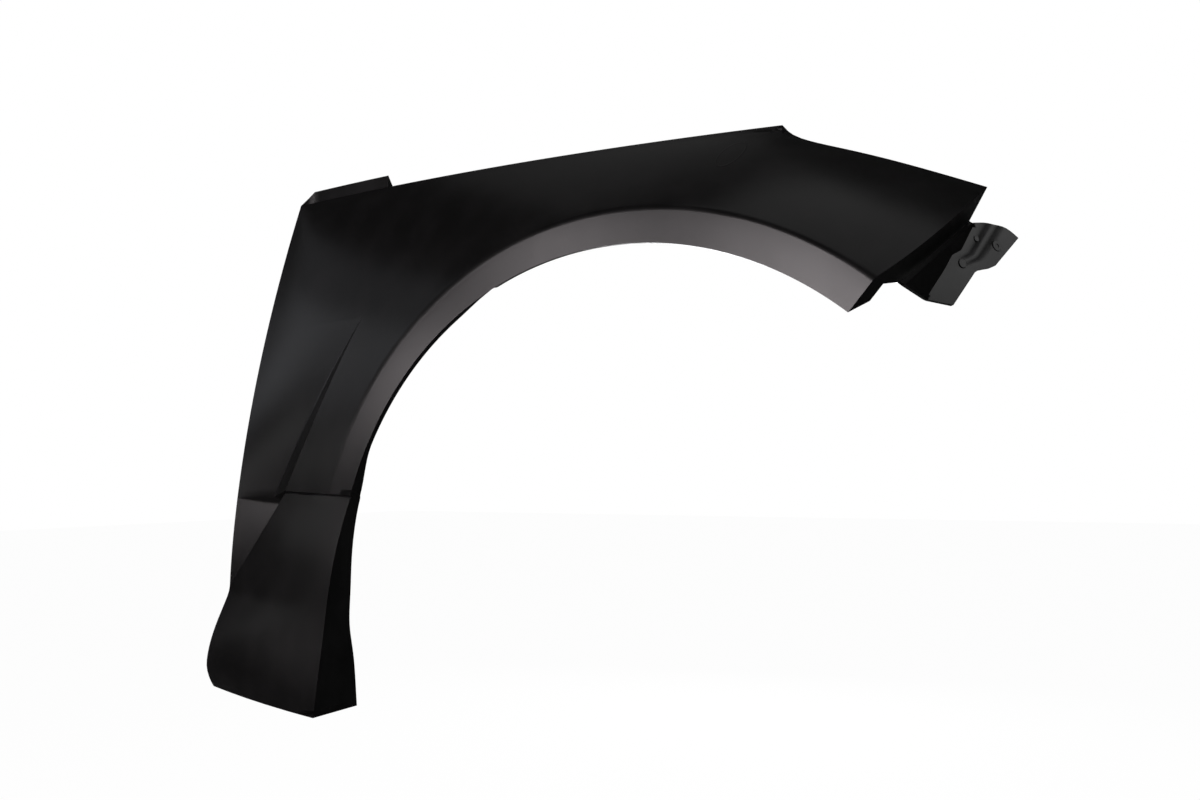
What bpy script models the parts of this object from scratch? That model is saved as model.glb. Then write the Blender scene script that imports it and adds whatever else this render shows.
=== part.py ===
# Right-hand front fender of a car, moulded in one piece in glass fibre with a satin black gel coat.
#
# +X is the front of the car, -Y is outboard, +Z is up. All lengths are in metres and all angles in degrees.
# The skin is drawn about the centre of the wheel arch and then moved, so that the origin lies on the
# middle bolt seat of the hood flange, where the fender hangs on the car.

import math

import bmesh
import bpy
import numpy as np
from mathutils import Matrix, Vector

NAME = "car_fender"
PANEL = "fender_panel"

# Laminate
WALL = 0.003

# Wheel arch: a flat band round the opening, whose outer side stands furthest outboard
ARCH_RADIUS = 0.355
BAND_WIDTH = 0.034
ARCH_FRONT_ANGLE = 48.8
ARCH_REAR_HEIGHT = 0.119
LAMP_ANGLE = 71.0
BAND_EDGE_ROUND = 0.0045

# Hood line, from the door corner forward to the lamp corner
REAR_X = -0.563
REAR_TOP_Y = 0.111
REAR_TOP_Z = 0.519
LAMP_CORNER_X = 0.137
LAMP_CORNER_Y = 0.126
LAMP_CORNER_Z = 0.486
HOOD_CROWN = 0.008

# Lamp line, from the lamp corner to the foremost tip, with a short dip behind the lamp corner
TIP_X = 0.322
TIP_Y = 0.136
TIP_Z = 0.392
LAMP_DIP = 0.0105
LAMP_DIP_REACH = 0.030
LAMP_DIP_STATIONS = (0.75, 0.42, 0.18)
SHOULDER_SOFTNESS = 0.030

# Bumper line, from the tip down to the arch band
BUMPER_LINE_SAG = 0.010
SAG_FORWARD = 0.83
SAG_DOWN = 0.55

# Door line: the skin's run-in at sill height and how fast it leans in above
DOOR_LOW_Y = 0.013
DOOR_LEAN = 1.68

# Step behind the arch: it starts at a point and deepens down to the joint line above the foot
STEP_TOP_X = -0.344
STEP_TOP_Z = 0.325
STEP_LOW_X = -0.458
STEP_LOW_WIDTH = 0.031
STEP_DEPTH = 0.013
STEP_REAR_ROUND = 0.009
STEP_ONSET = 1.6
STEP_TOP_RISE = 0.007
STEP_LEAD_ANGLE = 15.0

# Joint line above the foot: a groove over the flare and a sloped step under the recessed panel
JOINT_RISE = 0.005
PANEL_DROP = 0.007
GROOVE_WIDTH = 0.0035
GROOVE_DEPTH = 0.0022
PANEL_EDGE_DROP = 0.003
PANEL_STEP_HEIGHT = 0.010
PANEL_STEP_DEPTH = 0.006
PANEL_STEP_ROUND = 0.003

# Foot in front of the sill: it swells outboard as it goes down
FOOT_FRONT_Z = -0.121
FOOT_REAR_Z = -0.115
FOOT_FRONT_SWELL = 0.031
FOOT_SWELL_GROWTH = 1.1
FOOT_REAR_SWELL = 0.030
FOOT_REAR_TUCK = 0.011
FOOT_REAR_TUCK_Z = -0.082
FOOT_TOP_Y = 0.0015
FOOT_CROWN = 0.004
FOOT_HEEL_Z = 0.005
HEEL_DRAFT = 0.008

# Return of the lip: it fades in behind the top of the arch and widens into the forward wall of the foot
LIP_RETURN_START = 110.0
LIP_RETURN_FULL = 121.0
LIP_RETURN_DEPTH = 0.0065
LIP_RETURN_LEAST = 1.2 * WALL
JOINT_WALL_START = 150.0
JOINT_WALL_DEPTH = 0.015
FOOT_WALL_DEPTH = 0.063
FOOT_WALL_GROWTH = 1.15
FOOT_WAIST = 0.0045
FOOT_WAIST_PLACE = 0.60
FOOT_WAIST_REACH = 0.13

# Flanges round the rim, and the way each one is folded
EDGE_ROUND = 0.0016
HOOD_FOLD = np.array((0.0, 0.20, -0.98))
TAB_FOLD = np.array((0.0, 0.30, -0.95))
LAMP_FOLD = np.array((0.0, 0.35, -0.94))
REAR_RETURN = 0.018
LAMP_RETURN = 0.016
SILL_RETURN = 0.026
HOOD_DROP = 0.022
HOOD_FLANGE = 0.030
FLANGE_TAPER = 0.010
LAMP_RETURN_GAP = 0.006

# Upright tab at the door end of the hood flange
TAB_LENGTH = 0.158
TAB_DROP = 0.012
TAB_SEAT = 0.008
TAB_HEIGHT = 0.032
TAB_END = 0.004
TAB_TAPER = 0.014
TAB_SHOULDER_PLACE = 0.45
TAB_SHOULDER_HEIGHT = 0.55
TAB_SHOULDER_DEPTH = 0.6

# Bumper side: a return wall, a small ledge, a second wall and the flange that the bumper bolts to
BAND_END_RETURN = 0.014
BAND_END_FOLD = np.array((0.2, 1.0, -0.2))
LEDGE_TOP = np.array((0.3025, 0.156, 0.3685))
LEDGE_LOW = np.array((0.2650, 0.046, 0.2965))
LEDGE = 0.004
LEDGE_ACROSS = np.array((0.78, 0.08, -0.62))
FLANGE_TOP = np.array((0.3040, 0.165, 0.3710))
FLANGE_LOW = np.array((0.2785, 0.095, 0.2845))
FLANGE_OUTWARD = np.array((0.52, 0.61, -0.60))
FLANGE_PROUD = np.array((0.836, -0.521, 0.170))
FLANGE_TOP_WIDTH = 0.051
FLANGE_SHOULDER_WIDTH = 0.042
FLANGE_WAIST_WIDTH = 0.025
FLANGE_LOW_WIDTH = 0.020
FLANGE_SWEEP = 0.026
FLANGE_LOW_SWEEP = 0.017
FLANGE_SHOULDER_PLACE = 0.37
FLANGE_WAIST_PLACE = 0.62
FLANGE_HEAD_BULGE = 0.008
FLANGE_HEAD_REACH = 0.25
FOLD_WAVE = 0.003
FOLD_NICK_PLACES = (0.34, 0.46)
FOLD_BEND_PLACE = 0.55
FLANGE_VALLEY = 0.0025
FLANGE_VALLEY_PLACE = 0.40
FLANGE_VALLEY_REACH = 0.13
FLANGE_VALLEY_ENDS = (0.2, 0.7)

# Flat bolt seats on the hood flange, each with a slot along the car
SEAT_LENGTH = 0.034
SEAT_WIDTH = 0.020
SEAT_THICK = 0.0055
SEAT_RISE = 0.0012
SLOT_LENGTH = 0.013
SLOT_WIDTH = 0.0075
FRONT_SEAT_X = LAMP_CORNER_X - 0.060
MIDDLE_SEAT_X = -0.145
REAR_SEAT_X = REAR_X + TAB_LENGTH + 0.045

# Round bosses on the bumper flange: distance along the fold, distance outward, radius
BOSSES = {
    "upper": (0.0029, 0.0338, 0.0055),
    "inner": (0.0147, 0.0115, 0.0032),
    "lower": (0.0512, 0.0100, 0.0046),
}
BOSS_HEIGHT = 0.0014
BOSS_ROOT = 0.0035

# Facets
BAND_ROWS = 1
FLARE_ROWS = 4
PANEL_ROWS = 8
LAMP_COLUMNS = 5
HOOD_COLUMNS = 13
TAB_COLUMNS = 3
DOOR_COLUMNS = 5
STEP_COLUMNS = 7
HEEL_COLUMNS = 4
FOOT_COLUMNS = 5
ROUND_STEPS = 2
FRONT_SHARE = 0.24
FOOT_BAND_SHARE = 0.22
FOLD_ANGLE = math.radians(28.0)
WELD = 0.00005
FLANGE_SHARES = (1.0, 0.7, 0.55, 0.40, 0.25, 0.0)
BOSS_SEGMENTS = 16
SLOT_SEGMENTS = 16

# Places of the named corners in a section
LIP, CREASE, STEP_FRONT, STEP_BACK, RIM = np.cumsum((1, BAND_ROWS, FLARE_ROWS, 1, PANEL_ROWS))


def vec(*values):
    return np.array(values, dtype=float)


def unit(v):
    length = np.linalg.norm(v)
    return v / length if length > 1e-12 else v * 0.0


def mix(a, b, t):
    return a + (b - a) * t


def smooth(t):
    t = min(max(t, 0.0), 1.0)
    return t * t * (3.0 - 2.0 * t)


def rise(value, start, end):
    """0 up to the start and 1 from the end on, with a soft change between."""
    return smooth((value - start) / (end - start))


# Outer lines of the fender, seen from the side

def hood_z(x):
    """Height of the hood line, a shallow arch between its two corners."""
    s = (x - REAR_X) / (LAMP_CORNER_X - REAR_X)
    return mix(REAR_TOP_Z, LAMP_CORNER_Z, s) + HOOD_CROWN * 4.0 * s * (1.0 - s)


def lamp_z(x):
    """Height of the lamp line, straight apart from the dip behind the lamp corner."""
    s = (x - LAMP_CORNER_X) / (TIP_X - LAMP_CORNER_X)
    reach = max(x - LAMP_CORNER_X, 0.0) / LAMP_DIP_REACH
    return mix(LAMP_CORNER_Z, TIP_Z, s) - LAMP_DIP * reach * math.exp(1.0 - reach)


def shoulder_z(x):
    """Height where the skin would turn over into the hood, a soft bend past the lamp corner."""
    slope = (hood_z(TIP_X) - TIP_Z) / (TIP_X - LAMP_CORNER_X)
    past = x - LAMP_CORNER_X
    bend = 0.5 * (math.hypot(past, SHOULDER_SOFTNESS) + past)
    return hood_z(x) - slope * bend


def shoulder_y(x):
    """How far inboard the upper rim lies."""
    if x < LAMP_CORNER_X:
        return mix(REAR_TOP_Y, LAMP_CORNER_Y, (x - REAR_X) / (LAMP_CORNER_X - REAR_X))
    return mix(LAMP_CORNER_Y, TIP_Y, (x - LAMP_CORNER_X) / (TIP_X - LAMP_CORNER_X))


def body_y(x, z):
    """The car's plain side, without the flare: upright at the sill and leaning in towards the hood."""
    lean = (max(z, 0.0) / shoulder_z(x)) ** DOOR_LEAN
    low = DOOR_LOW_Y / REAR_TOP_Y
    return shoulder_y(x) * mix(low, 1.0, lean)


def skin_y(x, z):
    """The flared skin: on the arch band it is at Y = 0, and it meets the plain side at the outer rim."""
    from_band = math.hypot(x, z) - (ARCH_RADIUS + BAND_WIDTH)
    to_top = shoulder_z(x) - z
    to_door = max(x - REAR_X, 1e-7)
    if to_top > 1e-7:
        to_rim = 1.0 / math.hypot(1.0 / to_top, 1.0 / to_door)
    else:
        to_rim = to_top
    return from_band / (from_band + to_rim) * body_y(x, z)


def on_skin(x, z):
    return vec(x, skin_y(x, z), z)


def arch_point(angle, offset=0.0):
    a = math.radians(angle)
    radius = ARCH_RADIUS + offset
    return vec(radius * math.cos(a), 0.0, radius * math.sin(a))


ARCH_REAR_ANGLE = 180.0 - math.degrees(math.asin(ARCH_REAR_HEIGHT / ARCH_RADIUS))
STEP_LOW_Z = ARCH_REAR_HEIGHT + JOINT_RISE
PANEL_LOW_Z = STEP_LOW_Z - PANEL_DROP
STEP_TOP_ANGLE = math.degrees(math.atan2(STEP_TOP_Z, STEP_TOP_X))
DOOR_ANGLE = STEP_TOP_ANGLE - STEP_LEAD_ANGLE
PANEL_TOP_Z = STEP_TOP_Z + STEP_TOP_RISE
JOINT_LENGTH = -STEP_LOW_X - math.sqrt(ARCH_RADIUS ** 2 - ARCH_REAR_HEIGHT ** 2)
BAND_REAR_Z = ARCH_REAR_HEIGHT + JOINT_RISE * BAND_WIDTH / JOINT_LENGTH
BAND_REAR_ANGLE = 180.0 - math.degrees(math.asin(BAND_REAR_Z / (ARCH_RADIUS + BAND_WIDTH)))


def door_y(z):
    """Y of the door line, with the swell of the foot below the heel."""
    if z >= FOOT_HEEL_Z:
        return body_y(REAR_X, z)
    fall = (FOOT_HEEL_Z - z) / (FOOT_HEEL_Z - FOOT_REAR_TUCK_Z)
    swell = FOOT_REAR_SWELL * math.sin(0.5 * math.pi * min(fall, 1.0))
    tuck = max(FOOT_REAR_TUCK_Z - z, 0.0) / (FOOT_REAR_TUCK_Z - FOOT_REAR_Z)
    return body_y(REAR_X, FOOT_HEEL_Z) - swell + FOOT_REAR_TUCK * tuck ** 2


# A section is a run of corner points from inside the arch out to the rim flanges. Each corner carries
# the radius that rounds it along the section and the radius that rounds it across to the next section.

class Corner:
    def __init__(self, point, along=0.0, across=0.0, void=False):
        self.point = np.array(point, dtype=float)
        self.along = along
        self.across = across
        self.void = void


def run(start, end, count, shape=None):
    """Plain corners between two points; shape gives the skin's Y."""
    out = []
    for k in range(1, count):
        p = mix(start, end, k / count)
        if shape is not None:
            p = vec(p[0], shape(p[0], p[2]), p[2])
        out.append(Corner(p))
    return out


class Flange:
    """Flange outside a rim point: a folded wall, a level seat inboard of it and an upright tab."""
    def __init__(self, fold, seat=0.0, tab=0.0):
        self.fold = np.array(fold, dtype=float)
        self.seat = seat
        self.tab = tab

    def corners(self, edge):
        wall = edge + self.fold
        seat = wall + vec(0.0, self.seat, 0.0)
        top = seat + vec(0.0, 0.0, self.tab)
        return [Corner(wall), Corner(seat), Corner(top)]


DOOR_FLANGE = Flange((0.0, REAR_RETURN, 0.0))
HOOD_FLANGE_FULL = Flange(HOOD_FOLD * HOOD_DROP, HOOD_FLANGE)
TAB_FLANGE = Flange(TAB_FOLD * TAB_DROP, TAB_SEAT, TAB_HEIGHT)
NO_FLANGE = Flange((0.0, 0.0, 0.0))


def upper_section(angle, rim, flange, step):
    """Section above the joint line. step runs from 0 at the step's upper end to 1 at the joint line."""
    lip = arch_point(angle)
    band = arch_point(angle + (BAND_REAR_ANGLE - ARCH_REAR_ANGLE) * (step or 0.0), BAND_WIDTH)
    fade = rise(angle, LIP_RETURN_START, LIP_RETURN_FULL)
    widen = rise(angle, JOINT_WALL_START, ARCH_REAR_ANGLE)
    depth = mix(LIP_RETURN_DEPTH, JOINT_WALL_DEPTH, widen) * fade
    if depth < LIP_RETURN_LEAST:
        depth = 0.0
    wall = lip + vec(0.0, depth, 0.0)
    section = [Corner(wall), Corner(lip)]
    section += run(lip, band, BAND_ROWS)
    section.append(Corner(band, BAND_EDGE_ROUND))
    if step is None:
        front = on_skin(*mix(band, rim, FRONT_SHARE)[[0, 2]])
        back = front
        if angle > DOOR_ANGLE:
            pull = (angle - DOOR_ANGLE) / (STEP_TOP_ANGLE - DOOR_ANGLE)
            start = mix(arch_point(DOOR_ANGLE, BAND_WIDTH), vec(REAR_X, 0.0, REAR_TOP_Z), FRONT_SHARE)
            front = on_skin(mix(start[0], STEP_TOP_X, pull), mix(start[2], STEP_TOP_Z, pull))
            back = front
        deep = 0.0
    else:
        x = mix(STEP_TOP_X, STEP_LOW_X, step)
        z = mix(STEP_TOP_Z, STEP_LOW_Z, step)
        front = on_skin(x, z)
        deep = step
        depth = STEP_DEPTH * (1.0 - (1.0 - step) ** STEP_ONSET)
        back = front + vec(-STEP_LOW_WIDTH * step, depth, -PANEL_DROP * step)
    section += run(band, front, FLARE_ROWS, skin_y)
    section.append(Corner(front))
    section.append(Corner(back, STEP_REAR_ROUND * smooth(2.0 * deep)))
    if step is None:
        section += run(back, rim, PANEL_ROWS, skin_y)
    else:
        top_rim = on_skin(REAR_X, PANEL_TOP_Z)
        top_start = on_skin(STEP_TOP_X, STEP_TOP_Z)
        for k in range(1, PANEL_ROWS):
            t = k / PANEL_ROWS
            p = mix(back, rim, t)
            edge = mix(top_start, top_rim, t)
            hollow = skin_y(edge[0], edge[2]) - edge[1]
            section.append(Corner(p + vec(0.0, hollow * (1.0 - smooth(step)), 0.0)))
    section.append(Corner(rim))
    section += flange.corners(rim)
    return section


def foot_front(z):
    """Front edge of the foot: on the arch circle down to the axle height and upright below it."""
    x = -math.sqrt(ARCH_RADIUS ** 2 - max(z, 0.0) ** 2)
    fall = (ARCH_REAR_HEIGHT - z) / (ARCH_REAR_HEIGHT - FOOT_FRONT_Z)
    return vec(x, FOOT_TOP_Y - FOOT_FRONT_SWELL * max(fall, 0.0) ** FOOT_SWELL_GROWTH, z)


def heel_share():
    """How far down the foot the panel step runs out on the door line."""
    top = STEP_LOW_Z - GROOVE_WIDTH
    return (top - FOOT_HEEL_Z) / (top - FOOT_REAR_Z)


def foot_section(v):
    """Section below the joint line, v from 0 under the joint line to 1 at the bottom edge."""
    z_front = mix(ARCH_REAR_HEIGHT - GROOVE_WIDTH, FOOT_FRONT_Z, v)
    edge = foot_front(z_front)
    waist = FOOT_WAIST * math.exp(-((v - FOOT_WAIST_PLACE) / FOOT_WAIST_REACH) ** 2)
    depth = mix(JOINT_WALL_DEPTH, FOOT_WALL_DEPTH, v ** FOOT_WALL_GROWTH) - waist
    wall = edge + vec(0.0, depth, 0.0)
    z_rear = mix(STEP_LOW_Z - GROOVE_WIDTH, FOOT_REAR_Z, v)
    open_share = max(1.0 - v / heel_share(), 0.0)
    top = on_skin(STEP_LOW_X, STEP_LOW_Z)
    if open_share > 1e-6:
        x = mix(REAR_X, STEP_LOW_X, open_share)
        y = mix(door_y(FOOT_HEEL_Z), top[1], open_share)
        front = vec(x, y, z_rear)
    else:
        front = vec(REAR_X, door_y(z_rear), z_rear)
    inner_top = STEP_DEPTH + PANEL_STEP_DEPTH
    back = front + vec(-HEEL_DRAFT, inner_top, -(PANEL_DROP + PANEL_STEP_HEIGHT - GROOVE_WIDTH)) * open_share
    rim_z = mix(PANEL_LOW_Z - PANEL_EDGE_DROP, FOOT_REAR_Z, v)
    rim = vec(REAR_X, door_y(rim_z), rim_z)
    if open_share <= 1e-6:
        rim = front
        back = front
    section = [Corner(wall), Corner(edge)]
    first = mix(edge, front, FOOT_BAND_SHARE)
    section += run(edge, first, BAND_ROWS)
    section.append(Corner(first))
    section += run(first, front, FLARE_ROWS)
    for c in section[2:]:
        t = (c.point[0] - edge[0]) / (front[0] - edge[0])
        c.point[1] -= FOOT_CROWN * 4.0 * t * (1.0 - t) * smooth(3.0 * v)
    section.append(Corner(front))
    section.append(Corner(back, PANEL_STEP_ROUND * smooth(4.0 * open_share)))
    section += run(back, rim, PANEL_ROWS)
    flange = NO_FLANGE if v >= 1.0 else DOOR_FLANGE
    section.append(Corner(rim))
    section += flange.corners(rim)
    return section


def spread(start, end, count):
    """Evenly spaced distances, the last one left out."""
    return [mix(start, end, k / count) for k in range(count)]


def lamp_places():
    """Rim points from the tip to the lamp corner, closer together in the dip, and their flanges."""
    length = TIP_X - LAMP_CORNER_X
    fade_end = LAMP_RETURN_GAP + 2.0 * FLANGE_TAPER
    near = [0.0, LAMP_RETURN_GAP, 0.5 * (LAMP_RETURN_GAP + fade_end)]
    far = [length - LAMP_DIP_REACH * share for share in LAMP_DIP_STATIONS]
    out = []
    for d in near + spread(fade_end, far[0], LAMP_COLUMNS) + far:
        x = TIP_X - d
        fade = rise(d, LAMP_RETURN_GAP, fade_end)
        out.append((on_skin(x, lamp_z(x)), Flange(LAMP_FOLD * LAMP_RETURN * fade)))
    return out


def hood_places():
    """Rim points from the lamp corner back to the tab, and then along the tab to the door corner."""
    length = LAMP_CORNER_X - REAR_X
    corner = Flange(0.5 * (HOOD_FOLD * HOOD_DROP + LAMP_FOLD * LAMP_RETURN))
    plain = [FLANGE_TAPER] + spread(3.0 * FLANGE_TAPER, length - TAB_LENGTH, HOOD_COLUMNS) + [length - TAB_LENGTH]
    tab = spread(length - TAB_LENGTH + TAB_END, length - TAB_TAPER, TAB_COLUMNS) + [length - TAB_TAPER]
    out = [(0.0, corner)]
    out += [(d, HOOD_FLANGE_FULL) for d in plain]
    out += [(d, TAB_FLANGE) for d in tab]
    shoulder = Flange(TAB_FOLD * TAB_DROP * TAB_SHOULDER_DEPTH, TAB_SEAT * TAB_SHOULDER_DEPTH,
                      TAB_HEIGHT * TAB_SHOULDER_HEIGHT)
    out.append((length - TAB_SHOULDER_PLACE * TAB_TAPER, shoulder))
    out.append((length, NO_FLANGE))
    places = []
    for d, flange in out:
        x = LAMP_CORNER_X - d
        places.append((vec(x, shoulder_y(x), hood_z(x)), flange))
    return places


def door_places():
    """Rim points down the door line from below the door corner to the top of the recessed panel."""
    drops = spread(FLANGE_TAPER, REAR_TOP_Z - PANEL_TOP_Z, DOOR_COLUMNS)
    return [(vec(REAR_X, door_y(REAR_TOP_Z - d), REAR_TOP_Z - d), DOOR_FLANGE) for d in drops]


def upper_sections():
    """All sections from the bumper line back to the joint line."""
    out = []
    groups = (
        (lamp_places(), ARCH_FRONT_ANGLE, LAMP_ANGLE),
        (hood_places(), LAMP_ANGLE, DOOR_ANGLE),
        (door_places(), DOOR_ANGLE, STEP_TOP_ANGLE),
    )
    for places, start, end in groups:
        shift = 1 if start == DOOR_ANGLE else 0
        count = len(places) - (1 if end == DOOR_ANGLE else 0) + shift
        for k, (rim, flange) in enumerate(places):
            out.append(upper_section(mix(start, end, (k + shift) / count), rim, flange, None))
    for k in range(STEP_COLUMNS + 1):
        s = k / STEP_COLUMNS
        z = mix(PANEL_TOP_Z, PANEL_LOW_Z, s)
        angle = mix(STEP_TOP_ANGLE, ARCH_REAR_ANGLE, s)
        out.append(upper_section(angle, vec(REAR_X, door_y(z), z), DOOR_FLANGE, s))
    return out


def fold_wave(s):
    """Where the bumper flange is folded, to the front or the back of its straight line."""
    nick = mix(FOLD_WAVE, -FOLD_WAVE, rise(s, *FOLD_NICK_PLACES))
    return nick - FOLD_WAVE * rise(s, FOLD_BEND_PLACE, 1.0)


def flange_width(s):
    """Width of the bumper flange, wide at its head and narrower past the waist."""
    if s < FLANGE_SHOULDER_PLACE:
        return mix(FLANGE_TOP_WIDTH, FLANGE_SHOULDER_WIDTH, s / FLANGE_SHOULDER_PLACE)
    if s < FLANGE_WAIST_PLACE:
        waist = rise(s, FLANGE_SHOULDER_PLACE, FLANGE_WAIST_PLACE)
        return mix(FLANGE_SHOULDER_WIDTH, FLANGE_WAIST_WIDTH, waist)
    return mix(FLANGE_WAIST_WIDTH, FLANGE_LOW_WIDTH, (s - FLANGE_WAIST_PLACE) / (1.0 - FLANGE_WAIST_PLACE))


def flange_point(s, t):
    """Point of the bumper flange: s from its head to its foot, t from the fold to the outer edge."""
    along = unit(FLANGE_LOW - FLANGE_TOP)
    fold = mix(FLANGE_TOP, FLANGE_LOW, s) + FLANGE_OUTWARD * fold_wave(s)
    sweep = mix(FLANGE_SWEEP, FLANGE_LOW_SWEEP, s)
    head = FLANGE_HEAD_BULGE * math.sin(math.pi * t) * max(1.0 - s / FLANGE_HEAD_REACH, 0.0)
    valley = FLANGE_VALLEY * math.exp(-((t - FLANGE_VALLEY_PLACE) / FLANGE_VALLEY_REACH) ** 2)
    valley *= 1.0 - rise(s, *FLANGE_VALLEY_ENDS)
    reach = flange_width(s) - fold_wave(s)
    return fold + FLANGE_OUTWARD * reach * t - along * (sweep * t + head) - FLANGE_PROUD * valley


def bumper_rails(edge):
    """Sections outside the bumper line, from the flange's outer edge back to the skin's edge."""
    rails = [[] for _ in range(len(FLANGE_SHARES) + 2)]
    first = edge[CREASE + 1].point
    tip = edge[RIM].point
    for k, c in enumerate(edge):
        if k > RIM or k <= CREASE:
            shallow = c.point + BAND_END_FOLD * (0.0 if k <= LIP else BAND_END_RETURN)
            for n, rail in enumerate(rails):
                rail.append(Corner(shallow, void=n < len(rails) - 1 or k > RIM or k < LIP))
            continue
        s = 1.0 - (c.point[2] - first[2]) / (tip[2] - first[2])
        wall = mix(LEDGE_TOP, LEDGE_LOW, s)
        ledge = wall + LEDGE_ACROSS * LEDGE
        for n, t in enumerate(FLANGE_SHARES):
            rails[n].append(Corner(flange_point(s, t)))
        rails[-2].append(Corner(ledge))
        rails[-1].append(Corner(wall))
    return rails


def all_sections():
    upper = upper_sections()
    edge = upper[0]
    low = edge[CREASE].point[2]
    high = edge[RIM].point[2]
    for c in edge[CREASE:RIM + 1]:
        s = (c.point[2] - low) / (high - low)
        sag = BUMPER_LINE_SAG * 4.0 * s * (1.0 - s)
        c.point = on_skin(c.point[0] + SAG_FORWARD * sag, c.point[2] - SAG_DOWN * sag)
    rails = bumper_rails(edge)
    joint = upper[-1]
    foot_places = spread(0.0, heel_share(), HEEL_COLUMNS) + spread(heel_share(), 1.0, FOOT_COLUMNS) + [1.0]
    foot = [foot_section(v) for v in foot_places]
    below = foot[0]
    groove = []
    for k, (a, b) in enumerate(zip(joint, below)):
        middle = mix(a.point, b.point, 0.5)
        if LIP <= k <= STEP_FRONT:
            middle = middle + vec(0.0, GROOVE_DEPTH, 0.0)
        groove.append(Corner(middle, min(a.along, b.along)))
    for k in range(STEP_BACK, RIM):
        below[k].across = PANEL_STEP_ROUND
    bottom = foot[-1]
    sill = []
    for k, c in enumerate(bottom):
        inside = LIP < k < RIM and np.linalg.norm(c.point - bottom[RIM].point) > 0.004
        sill.append(Corner(c.point + (vec(0.0, SILL_RETURN, 0.0) if inside else 0.0)))
    return rails + upper + [groove] + foot + [sill]


def round_run(corners, pick, steps):
    """Replace each corner of a run by an arc; every corner gives the same number of points."""
    count = len(corners)
    out = []
    for k, c in enumerate(corners):
        p = c.point
        radius = getattr(c, pick)
        ends = k in (0, count - 1) or corners[k - 1].void or corners[k + 1].void
        if ends or radius <= 0.0:
            out.append([p] * (steps + 1))
            continue
        before = corners[k - 1].point - p
        after = corners[k + 1].point - p
        reach = min(radius, 0.45 * np.linalg.norm(before), 0.45 * np.linalg.norm(after))
        a = p + unit(before) * reach
        b = p + unit(after) * reach
        arc = []
        for j in range(steps + 1):
            t = j / steps
            arc.append(mix(mix(a, p, t), mix(p, b, t), t))
        out.append(arc)
    return out


def refined_grid(sections, steps):
    """Round every section along its run, then round across from section to section."""
    rows = []
    for section in sections:
        arcs = round_run(section, "along", steps)
        row = []
        for c, arc in zip(section, arcs):
            row += [Corner(p, 0.0, c.across, c.void) for p in arc]
        rows.append(row)
    columns = []
    for j in range(len(rows[0])):
        line = [row[j] for row in rows]
        column = []
        for c, arc in zip(line, round_run(line, "across", steps)):
            column += [None if c.void else p for p in arc]
        columns.append(column)
    return [[column[i] for column in columns] for i in range(len(columns[0]))]


def skin_mesh(grid):
    """Open sheet through the grid; corners that coincide are welded and vanish."""
    bm = bmesh.new()
    verts = [[None if p is None else bm.verts.new(p) for p in row] for row in grid]
    for i in range(len(grid) - 1):
        for j in range(len(grid[0]) - 1):
            ring = (verts[i][j], verts[i + 1][j], verts[i + 1][j + 1], verts[i][j + 1])
            if None not in ring:
                bm.faces.new(ring)
    bmesh.ops.remove_doubles(bm, verts=bm.verts, dist=WELD)
    bmesh.ops.dissolve_degenerate(bm, dist=WELD, edges=bm.edges)
    weight = bm.edges.layers.float.new("bevel_weight_edge")
    folds = {e for e in bm.edges if len(e.link_faces) == 2 and e.calc_face_angle() > FOLD_ANGLE}
    for e in folds:
        if all(len(folds.intersection(v.link_edges)) < 3 and not v.is_boundary for v in e.verts):
            e[weight] = 1.0
    loose = [v for v in bm.verts if not v.link_faces]
    bmesh.ops.delete(bm, geom=loose, context="VERTS")
    bmesh.ops.recalc_face_normals(bm, faces=bm.faces)
    band_top = Vector(arch_point(90.0, 0.5 * BAND_WIDTH))
    middle = min(bm.faces, key=lambda f: (f.calc_center_median() - band_top).length)
    if middle.normal.y > 0.0:
        bmesh.ops.reverse_faces(bm, faces=bm.faces)
    return bm


def clear_scene():
    for obj in list(bpy.data.objects):
        bpy.data.objects.remove(obj, do_unlink=True)


def gel_coat():
    material = bpy.data.materials.new("satin_black_gel_coat")
    material.use_nodes = True
    shader = material.node_tree.nodes["Principled BSDF"]
    shader.inputs["Base Color"].default_value = (0.012, 0.012, 0.013, 1.0)
    shader.inputs["Roughness"].default_value = 0.42
    shader.inputs["Metallic"].default_value = 0.0
    return material


def seat_top(x):
    """Centre of the upper face of a bolt seat."""
    low = hood_z(x) + HOOD_FOLD[2] * HOOD_DROP
    tilt = abs(hood_z(x + 0.5 * SEAT_LENGTH) - hood_z(x - 0.5 * SEAT_LENGTH)) * 0.5
    y = shoulder_y(x) + HOOD_FOLD[1] * HOOD_DROP + 0.5 * HOOD_FLANGE
    return vec(x, y, low + tilt + SEAT_RISE)


def boss_place(name):
    """Centre of a round boss on the flange's front face, and its axis."""
    along = unit(FLANGE_LOW - FLANGE_TOP)
    down, out, _ = BOSSES[name]
    return FLANGE_TOP + along * down + FLANGE_OUTWARD * out, unit(np.cross(along, FLANGE_OUTWARD))


def add_box(bm, centre, size):
    place = Matrix.Translation(Vector(centre)) @ Matrix.Diagonal((size[0], size[1], size[2], 1.0))
    bmesh.ops.create_cube(bm, size=1.0, matrix=place)


def add_cylinder(bm, centre, axis, radius, depth, segments):
    turn = Vector(axis).to_track_quat("Z", "X").to_matrix().to_4x4()
    place = Matrix.Translation(Vector(centre)) @ turn
    bmesh.ops.create_cone(bm, cap_ends=True, segments=segments, radius1=radius, radius2=radius,
                          depth=depth, matrix=place)


def cutter(name, bm, group, offset):
    mesh = bpy.data.meshes.new(name)
    bm.to_mesh(mesh)
    bm.free()
    obj = bpy.data.objects.new(name, mesh)
    group.objects.link(obj)
    obj.location = offset
    obj.hide_render = True
    obj.display_type = "WIRE"
    return obj


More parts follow.
